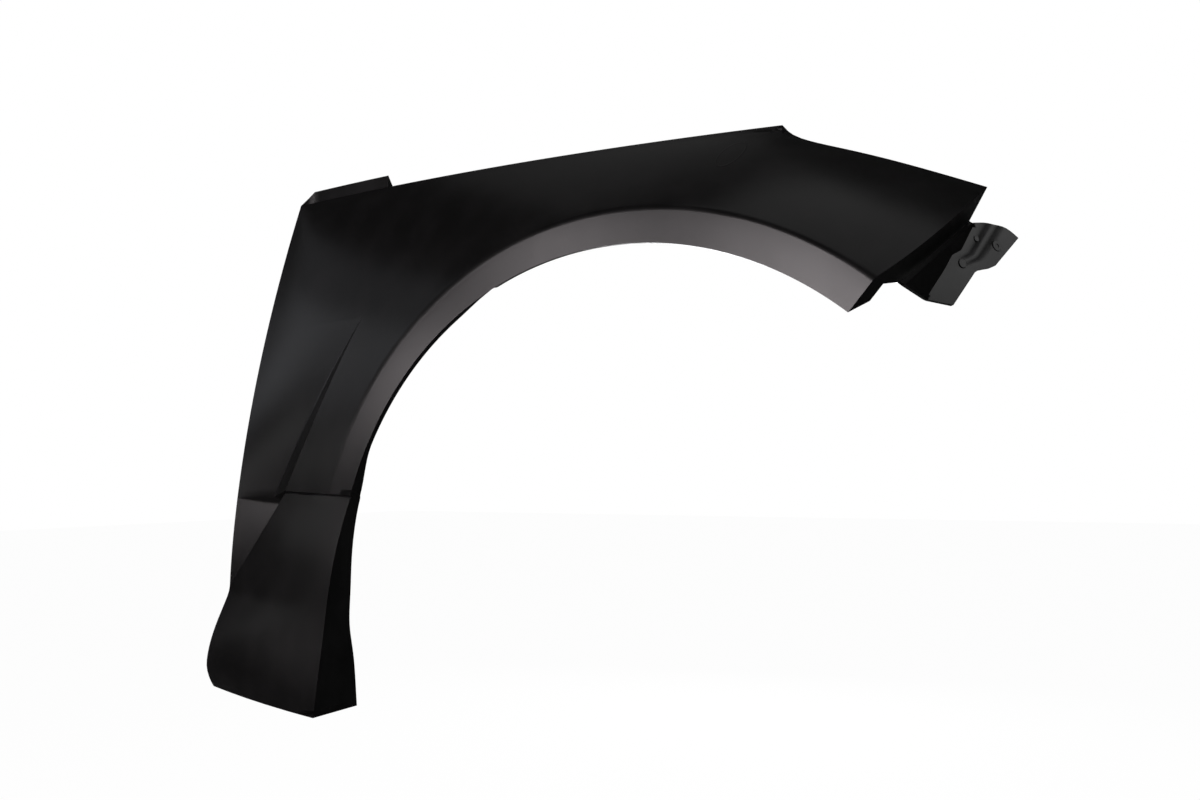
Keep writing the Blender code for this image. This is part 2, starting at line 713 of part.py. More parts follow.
def raised_places(group, offset):
    """The bolt seats and the round bosses, to be joined to the panel."""
    bm = bmesh.new()
    for x in (FRONT_SEAT_X, MIDDLE_SEAT_X, REAR_SEAT_X):
        add_box(bm, seat_top(x) - vec(0.0, 0.0, 0.5 * SEAT_THICK), (SEAT_LENGTH, SEAT_WIDTH, SEAT_THICK))
    for name, (_, _, radius) in BOSSES.items():
        centre, axis = boss_place(name)
        middle = centre + axis * 0.5 * (BOSS_HEIGHT - BOSS_ROOT)
        add_cylinder(bm, middle, axis, radius, BOSS_HEIGHT + BOSS_ROOT, BOSS_SEGMENTS)
    return cutter("raised_places", bm, group, offset)


def slots(group, offset):
    """Rounded slots through the bolt seats, for play along the car."""
    bm = bmesh.new()
    half = 0.5 * (SLOT_LENGTH - SLOT_WIDTH)
    for x in (FRONT_SEAT_X, MIDDLE_SEAT_X, REAR_SEAT_X):
        centre = seat_top(x)
        known = set(bm.verts)
        add_cylinder(bm, centre, (0.0, 0.0, 1.0), 0.5 * SLOT_WIDTH, 4.0 * SEAT_THICK, SLOT_SEGMENTS)
        for v in bm.verts:
            if v not in known:
                v.co.x += math.copysign(half, v.co.x - centre[0])
    return cutter("slots", bm, group, offset)


def main():
    clear_scene()
    parts = bpy.data.collections.new(NAME)
    cutters = bpy.data.collections.new("cutters")
    bpy.context.scene.collection.children.link(parts)
    bpy.context.scene.collection.children.link(cutters)
    bm = skin_mesh(refined_grid(all_sections(), ROUND_STEPS))
    mesh = bpy.data.meshes.new(PANEL)
    bm.to_mesh(mesh)
    bm.free()
    panel = bpy.data.objects.new(PANEL, mesh)
    parts.objects.link(panel)
    panel.location = OFFSET
    mesh.materials.append(gel_coat())
    wall = panel.modifiers.new("laminate", "SOLIDIFY")
    wall.thickness = WALL
    wall.offset = -1.0
    wall.use_quality_normals = True
    rounding = panel.modifiers.new("folds", "BEVEL")
    rounding.limit_method = "WEIGHT"
    rounding.width = EDGE_ROUND
    rounding.segments = 2
    join = panel.modifiers.new("raised_places", "BOOLEAN")
    join.operation = "UNION"
    join.solver = "EXACT"
    join.object = raised_places(cutters, OFFSET)
    cut = panel.modifiers.new("slots", "BOOLEAN")
    cut.operation = "DIFFERENCE"
    cut.solver = "EXACT"
    cut.object = slots(cutters, OFFSET)


# The origin lies on the middle seat, halfway between the slot's front end and the seat's
OFFSET = -(seat_top(MIDDLE_SEAT_X) + vec(0.25 * (SLOT_LENGTH + SEAT_LENGTH), 0.0, 0.0))

main()
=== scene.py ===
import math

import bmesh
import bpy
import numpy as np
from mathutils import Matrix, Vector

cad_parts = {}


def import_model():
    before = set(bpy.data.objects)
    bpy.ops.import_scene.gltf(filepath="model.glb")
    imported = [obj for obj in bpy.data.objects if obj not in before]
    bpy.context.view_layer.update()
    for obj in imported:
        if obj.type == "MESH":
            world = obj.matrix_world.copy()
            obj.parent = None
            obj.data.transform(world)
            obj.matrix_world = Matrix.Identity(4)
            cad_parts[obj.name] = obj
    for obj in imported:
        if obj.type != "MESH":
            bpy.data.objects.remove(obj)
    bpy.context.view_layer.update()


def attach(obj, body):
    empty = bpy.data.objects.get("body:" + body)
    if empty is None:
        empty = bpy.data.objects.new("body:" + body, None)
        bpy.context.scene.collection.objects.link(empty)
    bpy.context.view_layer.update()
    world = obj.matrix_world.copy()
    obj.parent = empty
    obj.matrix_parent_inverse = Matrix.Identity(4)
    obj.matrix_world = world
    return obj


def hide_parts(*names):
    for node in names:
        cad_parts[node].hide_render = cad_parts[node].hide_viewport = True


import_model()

# Right-hand front car fender, moulded in one piece with a satin black gel coat.
#
# The panel is built again here by the solid's own formulas, with closer facets, rounder folds and
# smoother shading. The step's width, the heel, the flange's valley and bosses and the start of the lip's
# return are fitted to the photograph. The drawing is about the centre of the wheel arch: +X front,
# -Y outboard, +Z up.

# Laminate
WALL = 0.003

# Wheel arch: a flat band round the opening, whose outer side stands furthest outboard
ARCH_RADIUS = 0.355
BAND_WIDTH = 0.034
ARCH_FRONT_ANGLE = 48.8
ARCH_REAR_HEIGHT = 0.119
LAMP_ANGLE = 71.0
BAND_EDGE_ROUND = 0.0045

# Hood line, from the door corner forward to the lamp corner
REAR_X = -0.563
REAR_TOP_Y = 0.111
REAR_TOP_Z = 0.519
LAMP_CORNER_X = 0.137
LAMP_CORNER_Y = 0.126
LAMP_CORNER_Z = 0.486
HOOD_CROWN = 0.008

# Lamp line, from the lamp corner to the foremost tip, with a short dip behind the lamp corner
TIP_X = 0.322
TIP_Y = 0.136
TIP_Z = 0.392
LAMP_DIP = 0.0105
LAMP_DIP_REACH = 0.030
LAMP_DIP_STATIONS = (0.75, 0.42, 0.18)
SHOULDER_SOFTNESS = 0.030

# Bumper line, from the tip down to the arch band
BUMPER_LINE_SAG = 0.010
SAG_FORWARD = 0.83
SAG_DOWN = 0.55

# Door line: the skin's run-in at sill height and how fast it leans in above
DOOR_LOW_Y = 0.013
DOOR_LEAN = 1.68

# Step behind the arch: it starts at a point and deepens down to the joint line above the foot
STEP_TOP_X = -0.344
STEP_TOP_Z = 0.325
STEP_LOW_X = -0.458
STEP_LOW_WIDTH = 0.035
STEP_DEPTH = 0.013
STEP_REAR_ROUND = 0.004
STEP_ONSET = 1.6
STEP_TOP_RISE = 0.007
STEP_LEAD_ANGLE = 15.0

# Joint line above the foot: a groove over the flare and a sloped step under the recessed panel
JOINT_RISE = 0.005
PANEL_DROP = 0.007
GROOVE_WIDTH = 0.0035
GROOVE_DEPTH = 0.0022
PANEL_EDGE_DROP = 0.003
PANEL_STEP_HEIGHT = 0.010
PANEL_STEP_DEPTH = 0.006
PANEL_STEP_ROUND = 0.003

# Foot in front of the sill: it swells outboard as it goes down
FOOT_FRONT_Z = -0.121
FOOT_REAR_Z = -0.115
FOOT_FRONT_SWELL = 0.031
FOOT_SWELL_GROWTH = 1.1
FOOT_REAR_SWELL = 0.030
FOOT_REAR_TUCK = 0.011
FOOT_REAR_TUCK_Z = -0.082
FOOT_TOP_Y = 0.0015
FOOT_CROWN = 0.004
FOOT_HEEL_Z = 0.005
HEEL_DRAFT = 0.008
HEEL_SOFTNESS = 0.12

# Return of the lip: it fades in behind the top of the arch and widens into the forward wall of the foot
LIP_RETURN_START = 110.0
LIP_RETURN_FULL = 121.0
LIP_RETURN_DEPTH = 0.0065
LIP_RETURN_LEAST = 0.0008
JOINT_WALL_START = 150.0
JOINT_WALL_DEPTH = 0.015
FOOT_WALL_DEPTH = 0.063
FOOT_WALL_GROWTH = 1.15
FOOT_WAIST = 0.0045
FOOT_WAIST_PLACE = 0.60
FOOT_WAIST_REACH = 0.13

# Flanges round the rim, and the way each one is folded
EDGE_ROUND = 0.0016
HOOD_FOLD = np.array((0.0, 0.20, -0.98))
TAB_FOLD = np.array((0.0, 0.30, -0.95))
LAMP_FOLD = np.array((0.0, 0.35, -0.94))
REAR_RETURN = 0.018
LAMP_RETURN = 0.016
SILL_RETURN = 0.026
SILL_RETURN_CLEAR = 0.004
HOOD_DROP = 0.022
HOOD_FLANGE = 0.030
FLANGE_TAPER = 0.010
LAMP_RETURN_GAP = 0.006

# Upright tab at the door end of the hood flange
TAB_LENGTH = 0.158
TAB_DROP = 0.012
TAB_SEAT = 0.008
TAB_HEIGHT = 0.032
TAB_END = 0.004
TAB_TAPER = 0.014
TAB_SHOULDER_PLACE = 0.45
TAB_SHOULDER_HEIGHT = 0.55
TAB_SHOULDER_DEPTH = 0.6

# Bumper side: a return wall, a small ledge, a second wall and the flange that the bumper bolts to
BAND_END_RETURN = 0.014
BAND_END_FOLD = np.array((0.2, 1.0, -0.2))
LEDGE_TOP = np.array((0.3025, 0.156, 0.3685))
LEDGE_LOW = np.array((0.2650, 0.046, 0.2965))
LEDGE = 0.004
LEDGE_ACROSS = np.array((0.78, 0.08, -0.62))
FLANGE_TOP = np.array((0.3040, 0.165, 0.3710))
FLANGE_LOW = np.array((0.2785, 0.095, 0.2845))
FLANGE_OUTWARD = np.array((0.52, 0.61, -0.60))
FLANGE_PROUD = np.array((0.836, -0.521, 0.170))
FLANGE_TOP_WIDTH = 0.051
FLANGE_SHOULDER_WIDTH = 0.042
FLANGE_WAIST_WIDTH = 0.025
FLANGE_LOW_WIDTH = 0.020
FLANGE_SWEEP = 0.026
FLANGE_LOW_SWEEP = 0.017
FLANGE_SHOULDER_PLACE = 0.37
FLANGE_WAIST_PLACE = 0.62
FLANGE_HEAD_BULGE = 0.008
FLANGE_HEAD_REACH = 0.25
FOLD_WAVE = 0.003
FOLD_NICK_PLACES = (0.34, 0.46)
FOLD_BEND_PLACE = 0.55
FLANGE_VALLEY = 0.0017
FLANGE_VALLEY_PLACE = 0.40
FLANGE_VALLEY_REACH = 0.15
FLANGE_VALLEY_ENDS = (0.2, 0.7)

# Flat bolt seats on the hood flange, each with a slot along the car
SEAT_LENGTH = 0.034
SEAT_WIDTH = 0.020
SEAT_THICK = 0.0055
SEAT_RISE = 0.0012
SLOT_LENGTH = 0.013
SLOT_WIDTH = 0.0075
SLOT_CUT_DEPTH = 4.0 * SEAT_THICK
FRONT_SEAT_X = LAMP_CORNER_X - 0.060
MIDDLE_SEAT_X = -0.145
REAR_SEAT_X = REAR_X + TAB_LENGTH + 0.045

# Round bosses on the bumper flange: distance along the fold, distance outward, radius
BOSSES = {
    "upper": (0.0029, 0.0338, 0.0055),
    "inner": (0.0147, 0.0115, 0.0032),
    "lower": (0.0512, 0.0100, 0.0046),
}
BOSS_HEIGHT = 0.0005
BOSS_ROOT = 0.0035

# Facets: rows along a section, sections along the panel, and how the bumper flange is shared out
BAND_ROWS = 2
FLARE_ROWS = 4
PANEL_ROWS = 16
LAMP_COLUMNS = 16
HOOD_COLUMNS = 42
TAB_COLUMNS = 10
DOOR_COLUMNS = 16
STEP_COLUMNS = 24
HEEL_COLUMNS = 12
FOOT_COLUMNS = 18
ROUND_STEPS = 4
ROUND_SHARE = 0.45
FRONT_SHARE = 0.24
FOOT_BAND_SHARE = 0.22
FOLD_ANGLE = math.radians(28.0)
WELD = 0.00005
FLANGE_SHARES = tuple(np.linspace(1.0, 0.0, 13))
BOSS_SEGMENTS = 40
SLOT_SEGMENTS = 32
EDGE_STEPS = 3

# Which folds are shaded sharp, and how far the lip, the step and the seats are rounded
SHARP_ANGLE = math.radians(38.0)
SHADING_WEIGHT = 60
ON_LINE = 0.0003
LIP_ROUND_LEAST = 0.05
LIP_ROUND_FULL = 125.0
STEP_FRONT_ROUND = 0.0006
SEAT_EDGE_ROUND = 0.0005
DIMPLE_RADIUS = 0.0022
DIMPLE_DEPTH = 0.0005

# Gel coat
COAT_COLOUR = (0.0026, 0.0025, 0.0026)
HAZE_COLOUR = (0.0048, 0.0046, 0.0048)
DUST_COLOUR = (0.010, 0.010, 0.0105)
COAT_ROUGHNESS = 0.29
POLISH_GAIN = 0.01
HAZE_LOSS = 0.015
COAT_SPECULAR = 0.25
WAVE_SCALE = 7.0
WAVE_DETAIL = 1.0
WAVE_HEIGHT = 0.00015
PEEL_SCALE = 420.0
PEEL_DETAIL = 2.0
PEEL_HEIGHT = 0.00001
CLOUD_SCALE = 16.0
CLOUD_DETAIL = 6.0
CLOUD_GRAIN = 0.62
WIPE_SCALE = 30.0
WIPE_DETAIL = 3.0
WIPE_GRAIN = 0.55
WIPE_TURN = (0.5, 0.3, 0.0)
WIPE_STRETCH = (1.0, 1.0, 0.5)
DUST_SCALE = 900.0
DUST_DETAIL = 2.0
DUST_GRAIN = 0.7
DUST_RANGE = (0.70, 0.84)
HAZE_RANGE = (0.80, 1.35)
GLOSS_RANGE = (0.70, 1.30)

# Faint round mark in the skin near the hood line
MARK_X = 0.1055
MARK_Z = 0.4455
MARK_RADIUS = 0.0115
MARK_SQUEEZE = (1.0, 0.0, 0.62)
MARK_SOFTNESS = 0.0012
MARK_DEPTH = 0.00012

# Bare laminate: layers of strands, each given as its turn and how slender the strands are
RESIN_COLOUR = (0.008, 0.008, 0.009)
STRAND_COLOUR = (0.030, 0.030, 0.031)
STRAND_LAYERS = ((0.3, 9.0), (1.4, 11.0), (2.4, 8.0))
STRAND_PITCH = 0.7
STRAND_SCALE = 90.0
STRAND_DETAIL = 3.0
STRAND_GRAIN = 0.6
STRAND_RANGE = (1.2, 1.9)
STRAND_HEIGHT = 0.0007
POOL_SCALE = 35.0
POOL_DETAIL = 4.0
POOL_RANGE = (0.35, 0.65)
RESIN_ROUGHNESS = (0.42, 0.62)

# Studio: even light in the room, black cloths round the panel, and softboxes round it, each given as
# name, azimuth, elevation, width, height, brightness and colour
WHITE = (1.0, 1.0, 1.0, 1.0)
ROOM_LEVEL = 0.35
CLOTH_ROOM = 9.0
CLOTH_HEIGHT = 5.0
CLOTH_GAP = 0.20
CLOTH_COLOUR = (0.05, 0.05, 0.05)
MATT_ROUGHNESS = 0.9
FLOOR_COLOUR = (0.90, 0.90, 0.90)
FLOOR_SPECULAR = 0.1
FLOOR_SHOWN = 0.97
FLOOR_SIZE = 12.0
FLOOR_GAP = 0.35
LIT_CENTRE = (0.0, 0.0, 0.25)
SOFTBOX_DISTANCE = 2.0
WARM_LIGHT = (1.0, 0.93, 0.95)
PLAIN_LIGHT = (1.0, 1.0, 1.0)
COOL_LIGHT = (0.92, 0.94, 1.0)
SOFTBOXES = (
    ("key", -15.0, 14.0, 0.42, 0.36, 18.0, WARM_LIGHT),
    ("key_low", -8.0, 7.0, 0.44, 0.24, 34.0, WARM_LIGHT),
    ("side", -35.0, 16.0, 0.36, 0.34, 14.5, WARM_LIGHT),
    ("rear", -45.5, 4.5, 0.28, 0.28, 18.0, WARM_LIGHT),
    ("far_rear", -65.0, 3.0, 0.40, 0.16, 0.9, PLAIN_LIGHT),
    ("door", -77.0, 15.0, 0.40, 0.50, 0.8, COOL_LIGHT),
    ("door_high", -79.0, 28.0, 0.40, 0.30, 0.3, COOL_LIGHT),
    ("ceiling", 60.0, 72.0, 1.60, 1.60, 0.5, PLAIN_LIGHT),
    ("ceiling_rear", -135.0, 55.0, 1.20, 1.20, 0.07, PLAIN_LIGHT),
    ("front_edge", 112.0, 25.0, 0.44, 0.44, 2.1, PLAIN_LIGHT),
    ("behind", -162.0, 6.0, 1.20, 0.80, 7.0, PLAIN_LIGHT),
)

# Camera, fitted to the photograph
VIEW_AZIMUTH = 32.1
VIEW_ELEVATION = -4.9
VIEW_ROLL = -0.5
VIEW_DISTANCE = 0.843
VIEW_TARGET = (-0.002, 0.0, 0.209)
VIEW_LENS = 27.0
VIEW_SENSOR = 36.0
VIEW_NEAREST = 0.01

# Places of the named corners in a section
LIP, CREASE, STEP_FRONT, STEP_BACK, RIM = np.cumsum((1, BAND_ROWS, FLARE_ROWS, 1, PANEL_ROWS))


def vec(*values):
    return np.array(values, dtype=float)


def unit(v):
    length = np.linalg.norm(v)
    return v / length if length > 1e-12 else v * 0.0


def mix(a, b, t):
    return a + (b - a) * t


def smooth(t):
    t = min(max(t, 0.0), 1.0)
    return t * t * (3.0 - 2.0 * t)


def rise(value, start, end):
    """0 up to the start and 1 from the end on, with a soft change between."""
    return smooth((value - start) / (end - start))


# Outer lines of the fender, seen from the side

def hood_z(x):
    """Height of the hood line, a shallow arch between its two corners."""
    s = (x - REAR_X) / (LAMP_CORNER_X - REAR_X)
    return mix(REAR_TOP_Z, LAMP_CORNER_Z, s) + HOOD_CROWN * 4.0 * s * (1.0 - s)


def lamp_z(x):
    """Height of the lamp line, straight apart from the dip behind the lamp corner."""
    s = (x - LAMP_CORNER_X) / (TIP_X - LAMP_CORNER_X)
    reach = max(x - LAMP_CORNER_X, 0.0) / LAMP_DIP_REACH
    return mix(LAMP_CORNER_Z, TIP_Z, s) - LAMP_DIP * reach * math.exp(1.0 - reach)


def shoulder_z(x):
    """Height where the skin would turn over into the hood, a soft bend past the lamp corner."""
    slope = (hood_z(TIP_X) - TIP_Z) / (TIP_X - LAMP_CORNER_X)
    past = x - LAMP_CORNER_X
    bend = 0.5 * (math.hypot(past, SHOULDER_SOFTNESS) + past)
    return hood_z(x) - slope * bend


def shoulder_y(x):
    """How far inboard the upper rim lies."""
    if x < LAMP_CORNER_X:
        return mix(REAR_TOP_Y, LAMP_CORNER_Y, (x - REAR_X) / (LAMP_CORNER_X - REAR_X))
    return mix(LAMP_CORNER_Y, TIP_Y, (x - LAMP_CORNER_X) / (TIP_X - LAMP_CORNER_X))


def body_y(x, z):
    """The car's plain side, without the flare: upright at the sill and leaning in towards the hood."""
    lean = (max(z, 0.0) / shoulder_z(x)) ** DOOR_LEAN
    low = DOOR_LOW_Y / REAR_TOP_Y
    return shoulder_y(x) * mix(low, 1.0, lean)


def skin_y(x, z):
    """The flared skin: on the arch band it is at Y = 0, and it meets the plain side at the outer rim."""
    from_band = math.hypot(x, z) - (ARCH_RADIUS + BAND_WIDTH)
    to_top = shoulder_z(x) - z
    to_door = max(x - REAR_X, 1e-7)
    if to_top > 1e-7:
        to_rim = 1.0 / math.hypot(1.0 / to_top, 1.0 / to_door)
    else:
        to_rim = to_top
    return from_band / (from_band + to_rim) * body_y(x, z)


def on_skin(x, z):
    return vec(x, skin_y(x, z), z)


def arch_point(angle, offset=0.0):
    a = math.radians(angle)
    radius = ARCH_RADIUS + offset
    return vec(radius * math.cos(a), 0.0, radius * math.sin(a))


ARCH_REAR_ANGLE = 180.0 - math.degrees(math.asin(ARCH_REAR_HEIGHT / ARCH_RADIUS))
STEP_LOW_Z = ARCH_REAR_HEIGHT + JOINT_RISE
PANEL_LOW_Z = STEP_LOW_Z - PANEL_DROP
STEP_TOP_ANGLE = math.degrees(math.atan2(STEP_TOP_Z, STEP_TOP_X))
DOOR_ANGLE = STEP_TOP_ANGLE - STEP_LEAD_ANGLE
PANEL_TOP_Z = STEP_TOP_Z + STEP_TOP_RISE
JOINT_LENGTH = -STEP_LOW_X - math.sqrt(ARCH_RADIUS ** 2 - ARCH_REAR_HEIGHT ** 2)
BAND_REAR_Z = ARCH_REAR_HEIGHT + JOINT_RISE * BAND_WIDTH / JOINT_LENGTH
BAND_REAR_ANGLE = 180.0 - math.degrees(math.asin(BAND_REAR_Z / (ARCH_RADIUS + BAND_WIDTH)))


def door_y(z):
    """Y of the door line, with the swell of the foot below the heel."""
    if z >= FOOT_HEEL_Z:
        return body_y(REAR_X, z)
    fall = (FOOT_HEEL_Z - z) / (FOOT_HEEL_Z - FOOT_REAR_TUCK_Z)
    fall = math.hypot(fall, HEEL_SOFTNESS) - HEEL_SOFTNESS
    swell = FOOT_REAR_SWELL * math.sin(0.5 * math.pi * min(fall, 1.0))
    tuck = max(FOOT_REAR_TUCK_Z - z, 0.0) / (FOOT_REAR_TUCK_Z - FOOT_REAR_Z)
    return body_y(REAR_X, FOOT_HEEL_Z) - swell + FOOT_REAR_TUCK * tuck ** 2


# A section is a run of corner points from inside the arch out to the rim flanges. Each corner carries
# the radius that rounds it along the section and the radius that rounds it across to the next section.

class Corner:
    def __init__(self, point, along=0.0, across=0.0, void=False):
        self.point = np.array(point, dtype=float)
        self.along = along
        self.across = across
        self.void = void


def run(start, end, count, shape=None):
    """Plain corners between two points; shape gives the skin's Y."""
    out = []
    for k in range(1, count):
        p = mix(start, end, k / count)
        if shape is not None:
            p = vec(p[0], shape(p[0], p[2]), p[2])
        out.append(Corner(p))
    return out


class Flange:
    """Flange outside a rim point: a folded wall, a level seat inboard of it and an upright tab."""
    def __init__(self, fold, seat=0.0, tab=0.0):
        self.fold = np.array(fold, dtype=float)
        self.seat = seat
        self.tab = tab

    def corners(self, edge):
        wall = edge + self.fold
        seat = wall + vec(0.0, self.seat, 0.0)
        top = seat + vec(0.0, 0.0, self.tab)
        return [Corner(wall), Corner(seat), Corner(top)]


DOOR_FLANGE = Flange((0.0, REAR_RETURN, 0.0))
HOOD_FLANGE_FULL = Flange(HOOD_FOLD * HOOD_DROP, HOOD_FLANGE)
TAB_FLANGE = Flange(TAB_FOLD * TAB_DROP, TAB_SEAT, TAB_HEIGHT)
NO_FLANGE = Flange((0.0, 0.0, 0.0))


def upper_section(angle, rim, flange, step):
    """Section above the joint line. step runs from 0 at the step's upper end to 1 at the joint line."""
    lip = arch_point(angle)
    band = arch_point(angle + (BAND_REAR_ANGLE - ARCH_REAR_ANGLE) * (step or 0.0), BAND_WIDTH)
    fade = rise(angle, LIP_RETURN_START, LIP_RETURN_FULL)
    widen = rise(angle, JOINT_WALL_START, ARCH_REAR_ANGLE)
    depth = mix(LIP_RETURN_DEPTH, JOINT_WALL_DEPTH, widen) * fade
    if depth < LIP_RETURN_LEAST:
        depth = 0.0
    wall = lip + vec(0.0, depth, 0.0)
    section = [Corner(wall), Corner(lip)]
    section += run(lip, band, BAND_ROWS)
    section.append(Corner(band, BAND_EDGE_ROUND))
    if step is None:
        front = on_skin(*mix(band, rim, FRONT_SHARE)[[0, 2]])
        if angle > DOOR_ANGLE:
            pull = (angle - DOOR_ANGLE) / (STEP_TOP_ANGLE - DOOR_ANGLE)
            start = mix(arch_point(DOOR_ANGLE, BAND_WIDTH), vec(REAR_X, 0.0, REAR_TOP_Z), FRONT_SHARE)
            front = on_skin(mix(start[0], STEP_TOP_X, pull), mix(start[2], STEP_TOP_Z, pull))
        back = front
    else:
        x = mix(STEP_TOP_X, STEP_LOW_X, step)
        z = mix(STEP_TOP_Z, STEP_LOW_Z, step)
        front = on_skin(x, z)
        grown = 1.0 - (1.0 - step) ** STEP_ONSET
        back = front + vec(-STEP_LOW_WIDTH * grown, STEP_DEPTH * grown, -PANEL_DROP * step)
    section += run(band, front, FLARE_ROWS, skin_y)
    section.append(Corner(front))
    section.append(Corner(back, STEP_REAR_ROUND * smooth(2.0 * (step or 0.0))))
    if step is None:
        section += run(back, rim, PANEL_ROWS, skin_y)
    else:
        top_rim = on_skin(REAR_X, PANEL_TOP_Z)
        top_start = on_skin(STEP_TOP_X, STEP_TOP_Z)
        for k in range(1, PANEL_ROWS):
            t = k / PANEL_ROWS
            p = mix(back, rim, t)
            edge = mix(top_start, top_rim, t)
            hollow = skin_y(edge[0], edge[2]) - edge[1]
            section.append(Corner(p + vec(0.0, hollow * (1.0 - smooth(step)), 0.0)))
    section.append(Corner(rim))
    section += flange.corners(rim)
    return section


def foot_front(z):
    """Front edge of the foot: on the arch circle down to the axle height and upright below it."""
    x = -math.sqrt(ARCH_RADIUS ** 2 - max(z, 0.0) ** 2)
    fall = (ARCH_REAR_HEIGHT - z) / (ARCH_REAR_HEIGHT - FOOT_FRONT_Z)
    return vec(x, FOOT_TOP_Y - FOOT_FRONT_SWELL * max(fall, 0.0) ** FOOT_SWELL_GROWTH, z)


def heel_share():
    """How far down the foot the panel step runs out on the door line."""
    top = STEP_LOW_Z - GROOVE_WIDTH
    return (top - FOOT_HEEL_Z) / (top - FOOT_REAR_Z)


def foot_section(v):
    """Section below the joint line, v from 0 under the joint line to 1 at the bottom edge."""
    z_front = mix(ARCH_REAR_HEIGHT - GROOVE_WIDTH, FOOT_FRONT_Z, v)
    edge = foot_front(z_front)
    waist = FOOT_WAIST * math.exp(-((v - FOOT_WAIST_PLACE) / FOOT_WAIST_REACH) ** 2)
    depth = mix(JOINT_WALL_DEPTH, FOOT_WALL_DEPTH, v ** FOOT_WALL_GROWTH) - waist
    wall = edge + vec(0.0, depth, 0.0)
    z_rear = mix(STEP_LOW_Z - GROOVE_WIDTH, FOOT_REAR_Z, v)
    open_share = max(1.0 - v / heel_share(), 0.0)
    top = on_skin(STEP_LOW_X, STEP_LOW_Z)
    if open_share > 1e-6:
        x = mix(REAR_X, STEP_LOW_X, open_share)
        y = mix(door_y(FOOT_HEEL_Z), top[1], open_share)
        front = vec(x, y, z_rear)
    else:
        front = vec(REAR_X, door_y(z_rear), z_rear)
    inner_top = STEP_DEPTH + PANEL_STEP_DEPTH
    back = front + vec(-HEEL_DRAFT, inner_top, -(PANEL_DROP + PANEL_STEP_HEIGHT - GROOVE_WIDTH)) * open_share
    rim_z = mix(PANEL_LOW_Z - PANEL_EDGE_DROP, FOOT_REAR_Z, v)
    rim = vec(REAR_X, door_y(rim_z), rim_z)
    if open_share <= 1e-6:
        rim = front
        back = front
    section = [Corner(wall), Corner(edge)]
    first = mix(edge, front, FOOT_BAND_SHARE)
    section += run(edge, first, BAND_ROWS)
    section.append(Corner(first))
    section += run(first, front, FLARE_ROWS)
    for c in section[2:]:
        t = (c.point[0] - edge[0]) / (front[0] - edge[0])
        c.point[1] -= FOOT_CROWN * 4.0 * t * (1.0 - t) * smooth(3.0 * v)
    section.append(Corner(front))
    section.append(Corner(back, PANEL_STEP_ROUND * smooth(4.0 * open_share)))
    section += run(back, rim, PANEL_ROWS)
    flange = NO_FLANGE if v >= 1.0 else DOOR_FLANGE
    section.append(Corner(rim))
    section += flange.corners(rim)
    return section


def spread(start, end, count):
    """Evenly spaced distances, the last one left out."""
    return [mix(start, end, k / count) for k in range(count)]


def lamp_places():
    """Rim points from the tip to the lamp corner, closer together in the dip, and their flanges."""
    length = TIP_X - LAMP_CORNER_X
    fade_end = LAMP_RETURN_GAP + 2.0 * FLANGE_TAPER
    near = [0.0, LAMP_RETURN_GAP, 0.5 * (LAMP_RETURN_GAP + fade_end)]
    far = [length - LAMP_DIP_REACH * share for share in LAMP_DIP_STATIONS]
    out = []
    for d in near + spread(fade_end, far[0], LAMP_COLUMNS) + far:
        x = TIP_X - d
        fade = rise(d, LAMP_RETURN_GAP, fade_end)
        out.append((on_skin(x, lamp_z(x)), Flange(LAMP_FOLD * LAMP_RETURN * fade)))
    return out


def hood_places():
    """Rim points from the lamp corner back to the tab, and then along the tab to the door corner."""
    length = LAMP_CORNER_X - REAR_X
    corner = Flange(0.5 * (HOOD_FOLD * HOOD_DROP + LAMP_FOLD * LAMP_RETURN))
    tab_start = length - TAB_LENGTH
    tab_end = length - TAB_TAPER
    plain = [FLANGE_TAPER] + spread(3.0 * FLANGE_TAPER, tab_start, HOOD_COLUMNS) + [tab_start]
    tab = spread(tab_start + TAB_END, tab_end, TAB_COLUMNS) + [tab_end]
    out = [(0.0, corner)]
    out += [(d, HOOD_FLANGE_FULL) for d in plain]
    out += [(d, TAB_FLANGE) for d in tab]
    shoulder = Flange(TAB_FOLD * TAB_DROP * TAB_SHOULDER_DEPTH, TAB_SEAT * TAB_SHOULDER_DEPTH,
                      TAB_HEIGHT * TAB_SHOULDER_HEIGHT)
    out.append((length - TAB_SHOULDER_PLACE * TAB_TAPER, shoulder))
    out.append((length, NO_FLANGE))
    places = []
    for d, flange in out:
        x = LAMP_CORNER_X - d
        places.append((vec(x, shoulder_y(x), hood_z(x)), flange))
    return places


def door_places():
    """Rim points down the door line from below the door corner to the top of the recessed panel."""
    drops = spread(FLANGE_TAPER, REAR_TOP_Z - PANEL_TOP_Z, DOOR_COLUMNS)
    return [(vec(REAR_X, door_y(REAR_TOP_Z - d), REAR_TOP_Z - d), DOOR_FLANGE) for d in drops]


def upper_sections():
    """All sections from the bumper line back to the joint line."""
    out = []
    groups = (
        (lamp_places(), ARCH_FRONT_ANGLE, LAMP_ANGLE),
        (hood_places(), LAMP_ANGLE, DOOR_ANGLE),
        (door_places(), DOOR_ANGLE, STEP_TOP_ANGLE),
    )
    for places, start, end in groups:
        shift = 1 if start == DOOR_ANGLE else 0
        count = len(places) - (1 if end == DOOR_ANGLE else 0) + shift
        for k, (rim, flange) in enumerate(places):
            out.append(upper_section(mix(start, end, (k + shift) / count), rim, flange, None))
    for k in range(STEP_COLUMNS + 1):
        s = k / STEP_COLUMNS
        z = mix(PANEL_TOP_Z, PANEL_LOW_Z, s)
        angle = mix(STEP_TOP_ANGLE, ARCH_REAR_ANGLE, s)
        out.append(upper_section(angle, vec(REAR_X, door_y(z), z), DOOR_FLANGE, s))
    return out


